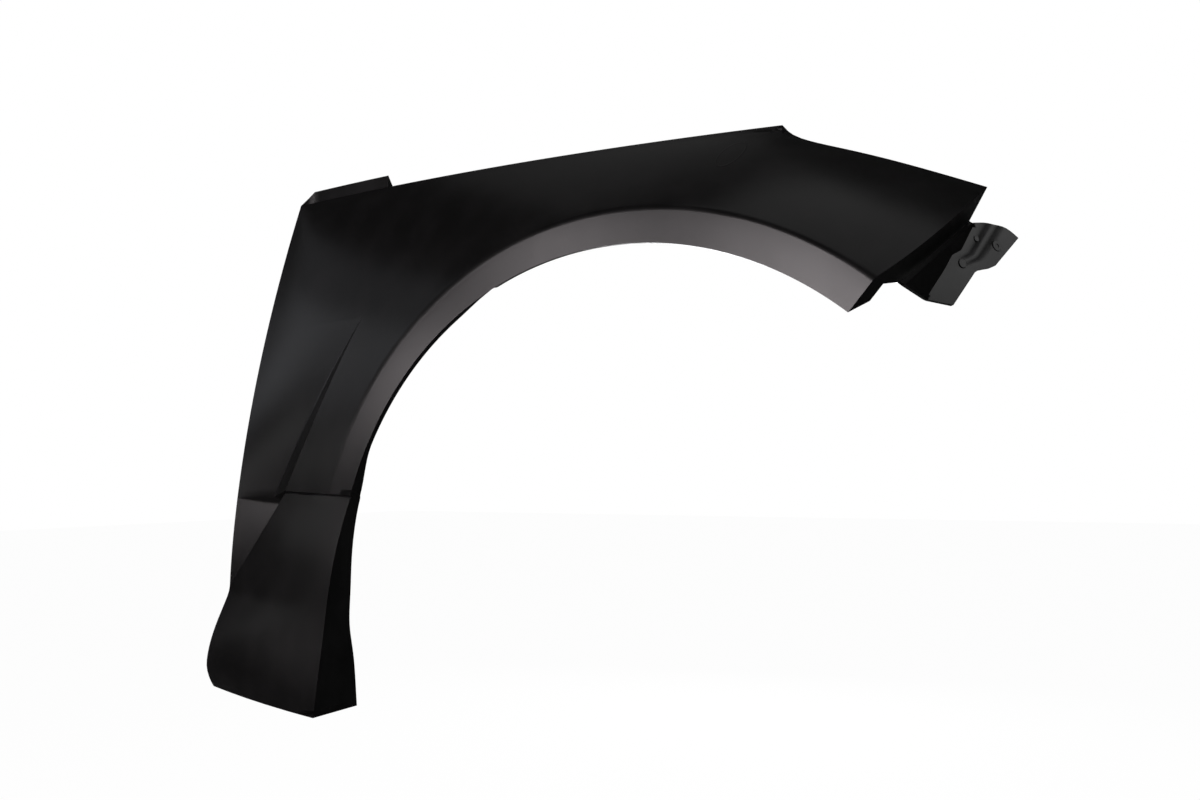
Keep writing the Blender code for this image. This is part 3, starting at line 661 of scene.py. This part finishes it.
def fold_wave(s):
    """Where the bumper flange is folded, to the front or the back of its straight line."""
    nick = mix(FOLD_WAVE, -FOLD_WAVE, rise(s, *FOLD_NICK_PLACES))
    return nick - FOLD_WAVE * rise(s, FOLD_BEND_PLACE, 1.0)


def flange_width(s):
    """Width of the bumper flange, wide at its head and narrower past the waist."""
    if s < FLANGE_SHOULDER_PLACE:
        return mix(FLANGE_TOP_WIDTH, FLANGE_SHOULDER_WIDTH, s / FLANGE_SHOULDER_PLACE)
    if s < FLANGE_WAIST_PLACE:
        waist = rise(s, FLANGE_SHOULDER_PLACE, FLANGE_WAIST_PLACE)
        return mix(FLANGE_SHOULDER_WIDTH, FLANGE_WAIST_WIDTH, waist)
    return mix(FLANGE_WAIST_WIDTH, FLANGE_LOW_WIDTH, (s - FLANGE_WAIST_PLACE) / (1.0 - FLANGE_WAIST_PLACE))


def flange_point(s, t):
    """Point of the bumper flange: s from its head to its foot, t from the fold to the outer edge."""
    along = unit(FLANGE_LOW - FLANGE_TOP)
    fold = mix(FLANGE_TOP, FLANGE_LOW, s) + FLANGE_OUTWARD * fold_wave(s)
    sweep = mix(FLANGE_SWEEP, FLANGE_LOW_SWEEP, s)
    head = FLANGE_HEAD_BULGE * math.sin(math.pi * t) * max(1.0 - s / FLANGE_HEAD_REACH, 0.0)
    valley = FLANGE_VALLEY * math.exp(-((t - FLANGE_VALLEY_PLACE) / FLANGE_VALLEY_REACH) ** 2)
    valley *= 1.0 - rise(s, *FLANGE_VALLEY_ENDS)
    reach = flange_width(s) - fold_wave(s)
    return fold + FLANGE_OUTWARD * reach * t - along * (sweep * t + head) - FLANGE_PROUD * valley


def bumper_rails(edge):
    """Sections outside the bumper line, from the flange's outer edge back to the skin's edge."""
    rails = [[] for _ in range(len(FLANGE_SHARES) + 2)]
    first = edge[CREASE + 1].point
    tip = edge[RIM].point
    for k, c in enumerate(edge):
        if k > RIM or k <= CREASE:
            shallow = c.point + BAND_END_FOLD * (0.0 if k <= LIP else BAND_END_RETURN)
            for n, rail in enumerate(rails):
                rail.append(Corner(shallow, void=n < len(rails) - 1 or k > RIM or k < LIP))
            continue
        s = 1.0 - (c.point[2] - first[2]) / (tip[2] - first[2])
        wall = mix(LEDGE_TOP, LEDGE_LOW, s)
        ledge = wall + LEDGE_ACROSS * LEDGE
        for n, t in enumerate(FLANGE_SHARES):
            rails[n].append(Corner(flange_point(s, t)))
        rails[-2].append(Corner(ledge))
        rails[-1].append(Corner(wall))
    return rails


def all_sections():
    upper = upper_sections()
    edge = upper[0]
    low = edge[CREASE].point[2]
    high = edge[RIM].point[2]
    for c in edge[CREASE:RIM + 1]:
        s = (c.point[2] - low) / (high - low)
        sag = BUMPER_LINE_SAG * 4.0 * s * (1.0 - s)
        c.point = on_skin(c.point[0] + SAG_FORWARD * sag, c.point[2] - SAG_DOWN * sag)
    rails = bumper_rails(edge)
    joint = upper[-1]
    foot_places = spread(0.0, heel_share(), HEEL_COLUMNS) + spread(heel_share(), 1.0, FOOT_COLUMNS) + [1.0]
    foot = [foot_section(v) for v in foot_places]
    below = foot[0]
    groove = []
    for k, (a, b) in enumerate(zip(joint, below)):
        middle = mix(a.point, b.point, 0.5)
        if LIP <= k <= STEP_FRONT:
            middle = middle + vec(0.0, GROOVE_DEPTH, 0.0)
        groove.append(Corner(middle, min(a.along, b.along)))
    for k in range(STEP_BACK, RIM):
        below[k].across = PANEL_STEP_ROUND
    bottom = foot[-1]
    sill = []
    for k, c in enumerate(bottom):
        inside = LIP < k < RIM and np.linalg.norm(c.point - bottom[RIM].point) > SILL_RETURN_CLEAR
        sill.append(Corner(c.point + (vec(0.0, SILL_RETURN, 0.0) if inside else 0.0)))
    return rails + upper + [groove] + foot + [sill]


def round_run(corners, pick, steps):
    """Replace each corner of a run by an arc; every corner gives the same number of points."""
    count = len(corners)
    out = []
    for k, c in enumerate(corners):
        p = c.point
        radius = getattr(c, pick)
        ends = k in (0, count - 1) or corners[k - 1].void or corners[k + 1].void
        if ends or radius <= 0.0:
            out.append([p] * (steps + 1))
            continue
        before = corners[k - 1].point - p
        after = corners[k + 1].point - p
        reach = min(radius, ROUND_SHARE * np.linalg.norm(before), ROUND_SHARE * np.linalg.norm(after))
        a = p + unit(before) * reach
        b = p + unit(after) * reach
        arc = []
        for j in range(steps + 1):
            t = j / steps
            arc.append(mix(mix(a, p, t), mix(p, b, t), t))
        out.append(arc)
    return out


def refined_grid(sections, steps):
    """Round every section along its run, then round across from section to section."""
    rows = []
    for section in sections:
        arcs = round_run(section, "along", steps)
        row = []
        for c, arc in zip(section, arcs):
            row += [Corner(p, 0.0, c.across, c.void) for p in arc]
        rows.append(row)
    columns = []
    for j in range(len(rows[0])):
        line = [row[j] for row in rows]
        column = []
        for c, arc in zip(line, round_run(line, "across", steps)):
            column += [None if c.void else p for p in arc]
        columns.append(column)
    return [[column[i] for column in columns] for i in range(len(columns[0]))]


def skin_mesh(grid):
    """Open sheet through the grid; corners that coincide are welded and vanish."""
    bm = bmesh.new()
    verts = [[None if p is None else bm.verts.new(p) for p in row] for row in grid]
    for i in range(len(grid) - 1):
        for j in range(len(grid[0]) - 1):
            ring = (verts[i][j], verts[i + 1][j], verts[i + 1][j + 1], verts[i][j + 1])
            if None not in ring:
                bm.faces.new(ring)
    bmesh.ops.remove_doubles(bm, verts=bm.verts, dist=WELD)
    bmesh.ops.dissolve_degenerate(bm, dist=WELD, edges=bm.edges)
    weight = bm.edges.layers.float.new("bevel_weight_edge")
    folds = {e for e in bm.edges if len(e.link_faces) == 2 and e.calc_face_angle() > FOLD_ANGLE}
    for e in folds:
        if all(len(folds.intersection(v.link_edges)) < 3 and not v.is_boundary for v in e.verts):
            e[weight] = 1.0
    loose = [v for v in bm.verts if not v.link_faces]
    bmesh.ops.delete(bm, geom=loose, context="VERTS")
    bmesh.ops.recalc_face_normals(bm, faces=bm.faces)
    band_top = Vector(arch_point(90.0, 0.5 * BAND_WIDTH))
    middle = min(bm.faces, key=lambda f: (f.calc_center_median() - band_top).length)
    if middle.normal.y > 0.0:
        bmesh.ops.reverse_faces(bm, faces=bm.faces)
    return bm


def seat_top(x):
    """Centre of the upper face of a bolt seat."""
    low = hood_z(x) + HOOD_FOLD[2] * HOOD_DROP
    tilt = abs(hood_z(x + 0.5 * SEAT_LENGTH) - hood_z(x - 0.5 * SEAT_LENGTH)) * 0.5
    y = shoulder_y(x) + HOOD_FOLD[1] * HOOD_DROP + 0.5 * HOOD_FLANGE
    return vec(x, y, low + tilt + SEAT_RISE)


def boss_place(name):
    """Centre of a round boss on the flange's front face, and its axis."""
    along = unit(FLANGE_LOW - FLANGE_TOP)
    down, out, _ = BOSSES[name]
    return FLANGE_TOP + along * down + FLANGE_OUTWARD * out, unit(np.cross(along, FLANGE_OUTWARD))


def add_box(bm, centre, size):
    place = Matrix.Translation(Vector(centre)) @ Matrix.Diagonal((size[0], size[1], size[2], 1.0))
    bmesh.ops.create_cube(bm, size=1.0, matrix=place)


def add_cylinder(bm, centre, axis, radius, depth, segments):
    turn = Vector(axis).to_track_quat("Z", "X").to_matrix().to_4x4()
    place = Matrix.Translation(Vector(centre)) @ turn
    bmesh.ops.create_cone(bm, cap_ends=True, segments=segments, radius1=radius, radius2=radius,
                          depth=depth, matrix=place)


OFFSET = -(seat_top(MIDDLE_SEAT_X) + vec(0.25 * (SLOT_LENGTH + SEAT_LENGTH), 0.0, 0.0))


# The finished panel

def helper(name, bm):
    """A shape that only cuts into or joins the panel; it is deleted once the panel is done."""
    mesh = bpy.data.meshes.new(name)
    bm.to_mesh(mesh)
    bm.free()
    obj = bpy.data.objects.new(name, mesh)
    bpy.context.scene.collection.objects.link(obj)
    soft = obj.modifiers.new("edges", "BEVEL")
    soft.width = SEAT_EDGE_ROUND
    soft.segments = EDGE_STEPS
    soft.angle_limit = FOLD_ANGLE
    return obj


def raised_places():
    """The bolt seats of the hood flange and the bosses of the bumper flange."""
    bm = bmesh.new()
    for x in (FRONT_SEAT_X, MIDDLE_SEAT_X, REAR_SEAT_X):
        add_box(bm, seat_top(x) - vec(0.0, 0.0, 0.5 * SEAT_THICK), (SEAT_LENGTH, SEAT_WIDTH, SEAT_THICK))
    for name, (_, _, radius) in BOSSES.items():
        centre, axis = boss_place(name)
        middle = centre + axis * 0.5 * (BOSS_HEIGHT - BOSS_ROOT)
        add_cylinder(bm, middle, axis, radius, BOSS_HEIGHT + BOSS_ROOT, BOSS_SEGMENTS)
    return helper("raised", bm)


def slots():
    """Cutters for the slots in the bolt seats."""
    bm = bmesh.new()
    half = 0.5 * (SLOT_LENGTH - SLOT_WIDTH)
    for x in (FRONT_SEAT_X, MIDDLE_SEAT_X, REAR_SEAT_X):
        centre = seat_top(x)
        known = set(bm.verts)
        add_cylinder(bm, centre, (0.0, 0.0, 1.0), 0.5 * SLOT_WIDTH, SLOT_CUT_DEPTH, SLOT_SEGMENTS)
        for v in bm.verts:
            if v not in known:
                v.co.x += math.copysign(half, v.co.x - centre[0])
    return helper("slot", bm)


def dimples():
    """The small hollow in the middle of the upper boss, a guess from a dark spot in the photograph."""
    bm = bmesh.new()
    centre, axis = boss_place("upper")
    add_cylinder(bm, centre + axis * BOSS_HEIGHT, axis, DIMPLE_RADIUS, 2.0 * DIMPLE_DEPTH, BOSS_SEGMENTS)
    return helper("dimple", bm)


def tune_folds(bm):
    """Round the lip less where its return begins, and the step's front edge less than the other folds."""
    weight = bm.edges.layers.float["bevel_weight_edge"]
    for e in bm.edges:
        x, y, z = (e.verts[0].co + e.verts[1].co) * 0.5
        if e[weight] > 0.0 and abs(y) < ON_LINE and abs(math.hypot(x, z) - ARCH_RADIUS) < ON_LINE and z > 0.0:
            angle = math.degrees(math.atan2(z, x))
            e[weight] = mix(LIP_ROUND_LEAST, 1.0, rise(angle, LIP_RETURN_START, LIP_ROUND_FULL))
        down = (STEP_TOP_Z - z) / (STEP_TOP_Z - STEP_LOW_Z)
        front = on_skin(mix(STEP_TOP_X, STEP_LOW_X, down), z)
        if 0.0 < down < 1.0 and abs(front[0] - x) < ON_LINE and abs(front[1] - y) < ON_LINE:
            e[weight] = STEP_FRONT_ROUND / EDGE_ROUND


def mark_recess_line(bm):
    """Shade the top line of the recessed panel sharp, from the step's upper end to the door line."""
    rim = vec(REAR_X, door_y(PANEL_TOP_Z), PANEL_TOP_Z)
    line = [c.point for c in upper_section(STEP_TOP_ANGLE, rim, DOOR_FLANGE, 0.0)[STEP_BACK:RIM + 1]]
    on_line = {v for v in bm.verts if min(np.linalg.norm(p - np.array(v.co)) for p in line) < WELD}
    for e in bm.edges:
        if e.verts[0] in on_line and e.verts[1] in on_line:
            e.smooth = False


def keep_folds_sharp(mesh):
    """Smooth shading, apart from the sharp folds."""
    bm = bmesh.new()
    bm.from_mesh(mesh)
    for e in bm.edges:
        if len(e.link_faces) == 2 and e.calc_face_angle() > SHARP_ANGLE:
            e.smooth = False
    for f in bm.faces:
        f.smooth = True
    bm.to_mesh(mesh)
    bm.free()


def finished_panel(name):
    bm = skin_mesh(refined_grid(all_sections(), ROUND_STEPS))
    tune_folds(bm)
    mark_recess_line(bm)
    mesh = bpy.data.meshes.new(name)
    bm.to_mesh(mesh)
    bm.free()
    draft = bpy.data.objects.new(name + "_draft", mesh)
    bpy.context.scene.collection.objects.link(draft)
    mesh.materials.append(gel_coat())
    mesh.materials.append(bare_laminate())
    wall = draft.modifiers.new("laminate", "SOLIDIFY")
    wall.thickness = WALL
    wall.offset = -1.0
    wall.use_quality_normals = True
    wall.material_offset = 1
    rounding = draft.modifiers.new("folds", "BEVEL")
    rounding.limit_method = "WEIGHT"
    rounding.width = EDGE_ROUND
    rounding.segments = EDGE_STEPS
    helpers = []
    for how, obj in (("UNION", raised_places()), ("DIFFERENCE", slots()), ("DIFFERENCE", dimples())):
        change = draft.modifiers.new(how.lower(), "BOOLEAN")
        change.operation = how
        change.solver = "EXACT"
        change.object = obj
        helpers.append(obj)
    done = bpy.data.meshes.new_from_object(draft.evaluated_get(bpy.context.evaluated_depsgraph_get()))
    for obj in helpers + [draft]:
        bpy.data.objects.remove(obj, do_unlink=True)
    done.transform(Matrix.Translation(Vector(OFFSET)))
    keep_folds_sharp(done)
    panel = bpy.data.objects.new(name, done)
    bpy.context.scene.collection.objects.link(panel)
    shading = panel.modifiers.new("shading", "WEIGHTED_NORMAL")
    shading.keep_sharp = True
    shading.weight = SHADING_WEIGHT
    return panel


# Materials

def in_frame(point):
    """A point of the drawing, in the frame of the part."""
    return Vector(np.array(point, dtype=float) + OFFSET)


def new_material(name):
    material = bpy.data.materials.new(name)
    material.use_nodes = True
    tree = material.node_tree
    shader = tree.nodes["Principled BSDF"]
    return material, tree, shader


def noise(tree, coords, scale, detail, roughness=0.5):
    node = tree.nodes.new("ShaderNodeTexNoise")
    node.inputs["Scale"].default_value = scale
    node.inputs["Detail"].default_value = detail
    node.inputs["Roughness"].default_value = roughness
    tree.links.new(coords, node.inputs["Vector"])
    return node.outputs["Fac"]


def ramp(tree, value, span, ends):
    """Soft change from the first of the ends to the second, over the span of the value."""
    node = tree.nodes.new("ShaderNodeMapRange")
    node.interpolation_type = "SMOOTHSTEP"
    node.inputs["From Min"].default_value = span[0]
    node.inputs["From Max"].default_value = span[1]
    node.inputs["To Min"].default_value = ends[0]
    node.inputs["To Max"].default_value = ends[1]
    tree.links.new(value, node.inputs["Value"])
    return node.outputs["Result"]


def add(tree, a, b):
    node = tree.nodes.new("ShaderNodeMath")
    node.operation = "ADD"
    tree.links.new(a, node.inputs[0])
    tree.links.new(b, node.inputs[1])
    return node.outputs["Value"]


def colour_mix(tree, factor, a, b):
    node = tree.nodes.new("ShaderNodeMix")
    node.data_type = "RGBA"
    node.inputs["A"].default_value = (*a, 1.0)
    node.inputs["B"].default_value = (*b, 1.0)
    tree.links.new(factor, node.inputs["Factor"])
    return node.outputs["Result"]


def bump(tree, height, distance, before=None):
    node = tree.nodes.new("ShaderNodeBump")
    node.inputs["Strength"].default_value = 1.0
    node.inputs["Distance"].default_value = distance
    tree.links.new(height, node.inputs["Height"])
    if before is not None:
        tree.links.new(before, node.inputs["Normal"])
    return node.outputs["Normal"]


def object_coords(tree):
    return tree.nodes.new("ShaderNodeTexCoord").outputs["Object"]


def stretched(tree, coords, turn, stretch, order="POINT"):
    """Coordinates scaled along the axes. In TEXTURE order the turn comes first and stretch divides."""
    place = tree.nodes.new("ShaderNodeMapping")
    place.vector_type = order
    place.inputs["Rotation"].default_value = turn
    place.inputs["Scale"].default_value = stretch
    tree.links.new(coords, place.inputs["Vector"])
    return place.outputs["Vector"]


def ring_mark(tree, coords):
    """Height of the faint round mark near the hood line."""
    centre = in_frame(on_skin(MARK_X, MARK_Z))
    apart = tree.nodes.new("ShaderNodeVectorMath")
    apart.operation = "DISTANCE"
    tree.links.new(stretched(tree, coords, (0.0, 0.0, 0.0), MARK_SQUEEZE), apart.inputs[0])
    apart.inputs[1].default_value = [a * b for a, b in zip(centre, MARK_SQUEEZE)]
    inner = (MARK_RADIUS - MARK_SOFTNESS, MARK_RADIUS)
    outer = (MARK_RADIUS, MARK_RADIUS + MARK_SOFTNESS)
    inside = ramp(tree, apart.outputs["Value"], inner, (0.0, 1.0))
    outside = ramp(tree, apart.outputs["Value"], outer, (0.0, -1.0))
    return add(tree, inside, outside)


def gel_coat():
    """Satin black gel coat: moulding waves, a fine peel, a thin uneven haze, wipe marks and dust."""
    material, tree, shader = new_material("satin_black_gel_coat")
    coords = object_coords(tree)
    waves = noise(tree, coords, WAVE_SCALE, WAVE_DETAIL)
    peel = noise(tree, coords, PEEL_SCALE, PEEL_DETAIL)
    cloud = noise(tree, coords, CLOUD_SCALE, CLOUD_DETAIL, CLOUD_GRAIN)
    wiped = stretched(tree, coords, WIPE_TURN, WIPE_STRETCH)
    wipes = noise(tree, wiped, WIPE_SCALE, WIPE_DETAIL, WIPE_GRAIN)
    specks = noise(tree, coords, DUST_SCALE, DUST_DETAIL, DUST_GRAIN)
    dust = ramp(tree, specks, DUST_RANGE, (0.0, 1.0))
    film = add(tree, cloud, wipes)
    hazed = colour_mix(tree, ramp(tree, film, HAZE_RANGE, (0.0, 1.0)), COAT_COLOUR, HAZE_COLOUR)
    dusted = colour_mix(tree, dust, COAT_COLOUR, DUST_COLOUR)
    tree.links.new(hazed, dusted.node.inputs["A"])
    tree.links.new(dusted, shader.inputs["Base Color"])
    gloss = ramp(tree, film, GLOSS_RANGE, (COAT_ROUGHNESS - POLISH_GAIN, COAT_ROUGHNESS + HAZE_LOSS))
    tree.links.new(gloss, shader.inputs["Roughness"])
    shader.inputs["Specular IOR Level"].default_value = COAT_SPECULAR
    normal = bump(tree, waves, WAVE_HEIGHT)
    normal = bump(tree, peel, PEEL_HEIGHT, normal)
    normal = bump(tree, ring_mark(tree, coords), MARK_DEPTH, normal)
    tree.links.new(normal, shader.inputs["Normal"])
    return material


def bare_laminate():
    """Inner face: black resin over chopped glass mat, with the strands showing as low ridges."""
    material, tree, shader = new_material("bare_laminate")
    coords = object_coords(tree)
    strands = None
    for turn, slender in STRAND_LAYERS:
        turns = (turn, turn * STRAND_PITCH, turn)
        along = stretched(tree, coords, turns, (1.0, 1.0, 1.0 / slender), "TEXTURE")
        layer = noise(tree, along, STRAND_SCALE, STRAND_DETAIL, STRAND_GRAIN)
        strands = layer if strands is None else add(tree, strands, layer)
    shade = ramp(tree, strands, STRAND_RANGE, (0.0, 1.0))
    tree.links.new(colour_mix(tree, shade, RESIN_COLOUR, STRAND_COLOUR), shader.inputs["Base Color"])
    pooled = noise(tree, coords, POOL_SCALE, POOL_DETAIL)
    tree.links.new(ramp(tree, pooled, POOL_RANGE, RESIN_ROUGHNESS), shader.inputs["Roughness"])
    shader.inputs["Specular IOR Level"].default_value = COAT_SPECULAR
    tree.links.new(bump(tree, strands, STRAND_HEIGHT), shader.inputs["Normal"])
    return material


def seen_directly(tree):
    """1 for rays from the camera, also by way of a mirror or through glass."""
    path = tree.nodes.new("ShaderNodeLightPath")
    first = add(tree, path.outputs["Is Camera Ray"], path.outputs["Is Glossy Ray"])
    total = add(tree, first, path.outputs["Is Transmission Ray"])
    total.node.use_clamp = True
    return total


def floor_material():
    """Pale floor, drawn near white but with part of its own shading, so that shadows stay."""
    material, tree, shader = new_material("pale_floor")
    shader.inputs["Base Color"].default_value = (*FLOOR_COLOUR, 1.0)
    shader.inputs["Roughness"].default_value = MATT_ROUGHNESS
    shader.inputs["Specular IOR Level"].default_value = FLOOR_SPECULAR
    share = tree.nodes.new("ShaderNodeMath")
    share.operation = "MULTIPLY"
    share.inputs[1].default_value = FLOOR_SHOWN
    tree.links.new(seen_directly(tree), share.inputs[0])
    glow = tree.nodes.new("ShaderNodeEmission")
    glow.inputs["Color"].default_value = WHITE
    blend = tree.nodes.new("ShaderNodeMixShader")
    out = tree.nodes["Material Output"]
    tree.links.new(share.outputs["Value"], blend.inputs["Fac"])
    tree.links.new(shader.outputs["BSDF"], blend.inputs[1])
    tree.links.new(glow.outputs["Emission"], blend.inputs[2])
    tree.links.new(blend.outputs["Shader"], out.inputs["Surface"])
    return material


# Studio

def direction(azimuth, elevation):
    """Unit vector from the panel: azimuth 0 is straight outboard and positive to the front."""
    a = math.radians(azimuth)
    e = math.radians(elevation)
    return Vector((math.sin(a) * math.cos(e), -math.cos(a) * math.cos(e), math.sin(e)))


def softbox(name, azimuth, elevation, width, height, radiance, colour):
    """Rectangular lamp aimed at the panel."""
    back = direction(azimuth, elevation)
    light = bpy.data.lights.new(name, "AREA")
    light.shape = "RECTANGLE"
    light.size = width
    light.size_y = height
    light.energy = radiance * math.pi * width * height
    light.color = colour
    lamp = bpy.data.objects.new(name, light)
    bpy.context.scene.collection.objects.link(lamp)
    lamp.location = in_frame(LIT_CENTRE) + back * SOFTBOX_DISTANCE
    lamp.rotation_euler = (-back).to_track_quat("-Z", "Y").to_euler()


def floor():
    bm = bmesh.new()
    bmesh.ops.create_grid(bm, x_segments=1, y_segments=1, size=FLOOR_SIZE)
    mesh = bpy.data.meshes.new("floor")
    bm.to_mesh(mesh)
    bm.free()
    mesh.materials.append(floor_material())
    obj = bpy.data.objects.new("floor", mesh)
    bpy.context.scene.collection.objects.link(obj)
    obj.location = in_frame((0.0, 0.0, FOOT_FRONT_Z - FLOOR_GAP))


def black_cloths():
    """Black cloths hung all round, as a studio does for a glossy black part. Only gloss sees them."""
    bm = bmesh.new()
    add_box(bm, (0.0, 0.0, 0.5 * CLOTH_HEIGHT), (CLOTH_ROOM, CLOTH_ROOM, CLOTH_HEIGHT))
    bmesh.ops.reverse_faces(bm, faces=bm.faces)
    mesh = bpy.data.meshes.new("black_cloths")
    bm.to_mesh(mesh)
    bm.free()
    material, _, shader = new_material("black_cloth")
    shader.inputs["Base Color"].default_value = (*CLOTH_COLOUR, 1.0)
    shader.inputs["Roughness"].default_value = MATT_ROUGHNESS
    shader.inputs["Specular IOR Level"].default_value = 0.0
    mesh.materials.append(material)
    obj = bpy.data.objects.new("black_cloths", mesh)
    bpy.context.scene.collection.objects.link(obj)
    obj.location = in_frame((0.0, 0.0, FOOT_FRONT_Z - CLOTH_GAP))
    obj.visible_camera = False
    obj.visible_diffuse = False
    obj.visible_transmission = False
    obj.visible_shadow = False


def world():
    """White where it is seen, and the room's even light for everything else."""
    made = bpy.data.worlds.new("studio")
    bpy.context.scene.world = made
    made.use_nodes = True
    tree = made.node_tree
    room = tree.nodes["Background"]
    room.inputs["Color"].default_value = WHITE
    room.inputs["Strength"].default_value = ROOM_LEVEL
    white = tree.nodes.new("ShaderNodeBackground")
    white.inputs["Color"].default_value = WHITE
    blend = tree.nodes.new("ShaderNodeMixShader")
    tree.links.new(seen_directly(tree), blend.inputs["Fac"])
    tree.links.new(room.outputs["Background"], blend.inputs[1])
    tree.links.new(white.outputs["Background"], blend.inputs[2])
    tree.links.new(blend.outputs["Shader"], tree.nodes["World Output"].inputs["Surface"])


def camera():
    """The photograph's view, fitted to the arch circle and the panel's corners."""
    back = direction(VIEW_AZIMUTH, VIEW_ELEVATION)
    data = bpy.data.cameras.new("camera")
    data.lens = VIEW_LENS
    data.sensor_width = VIEW_SENSOR
    data.clip_start = VIEW_NEAREST
    obj = bpy.data.objects.new("camera", data)
    bpy.context.scene.collection.objects.link(obj)
    obj.location = in_frame(VIEW_TARGET) + back * VIEW_DISTANCE
    roll = Matrix.Rotation(math.radians(VIEW_ROLL), 4, "Z").to_quaternion()
    obj.rotation_mode = "QUATERNION"
    obj.rotation_quaternion = (-back).to_track_quat("-Z", "Y") @ roll
    bpy.context.scene.camera = obj


panel = finished_panel("fender_skin")
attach(panel, "root")
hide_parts("fender_panel")

floor()
black_cloths()
world()
for lamp in SOFTBOXES:
    softbox(*lamp)
camera()
bpy.context.scene.view_settings.view_transform = "Standard"
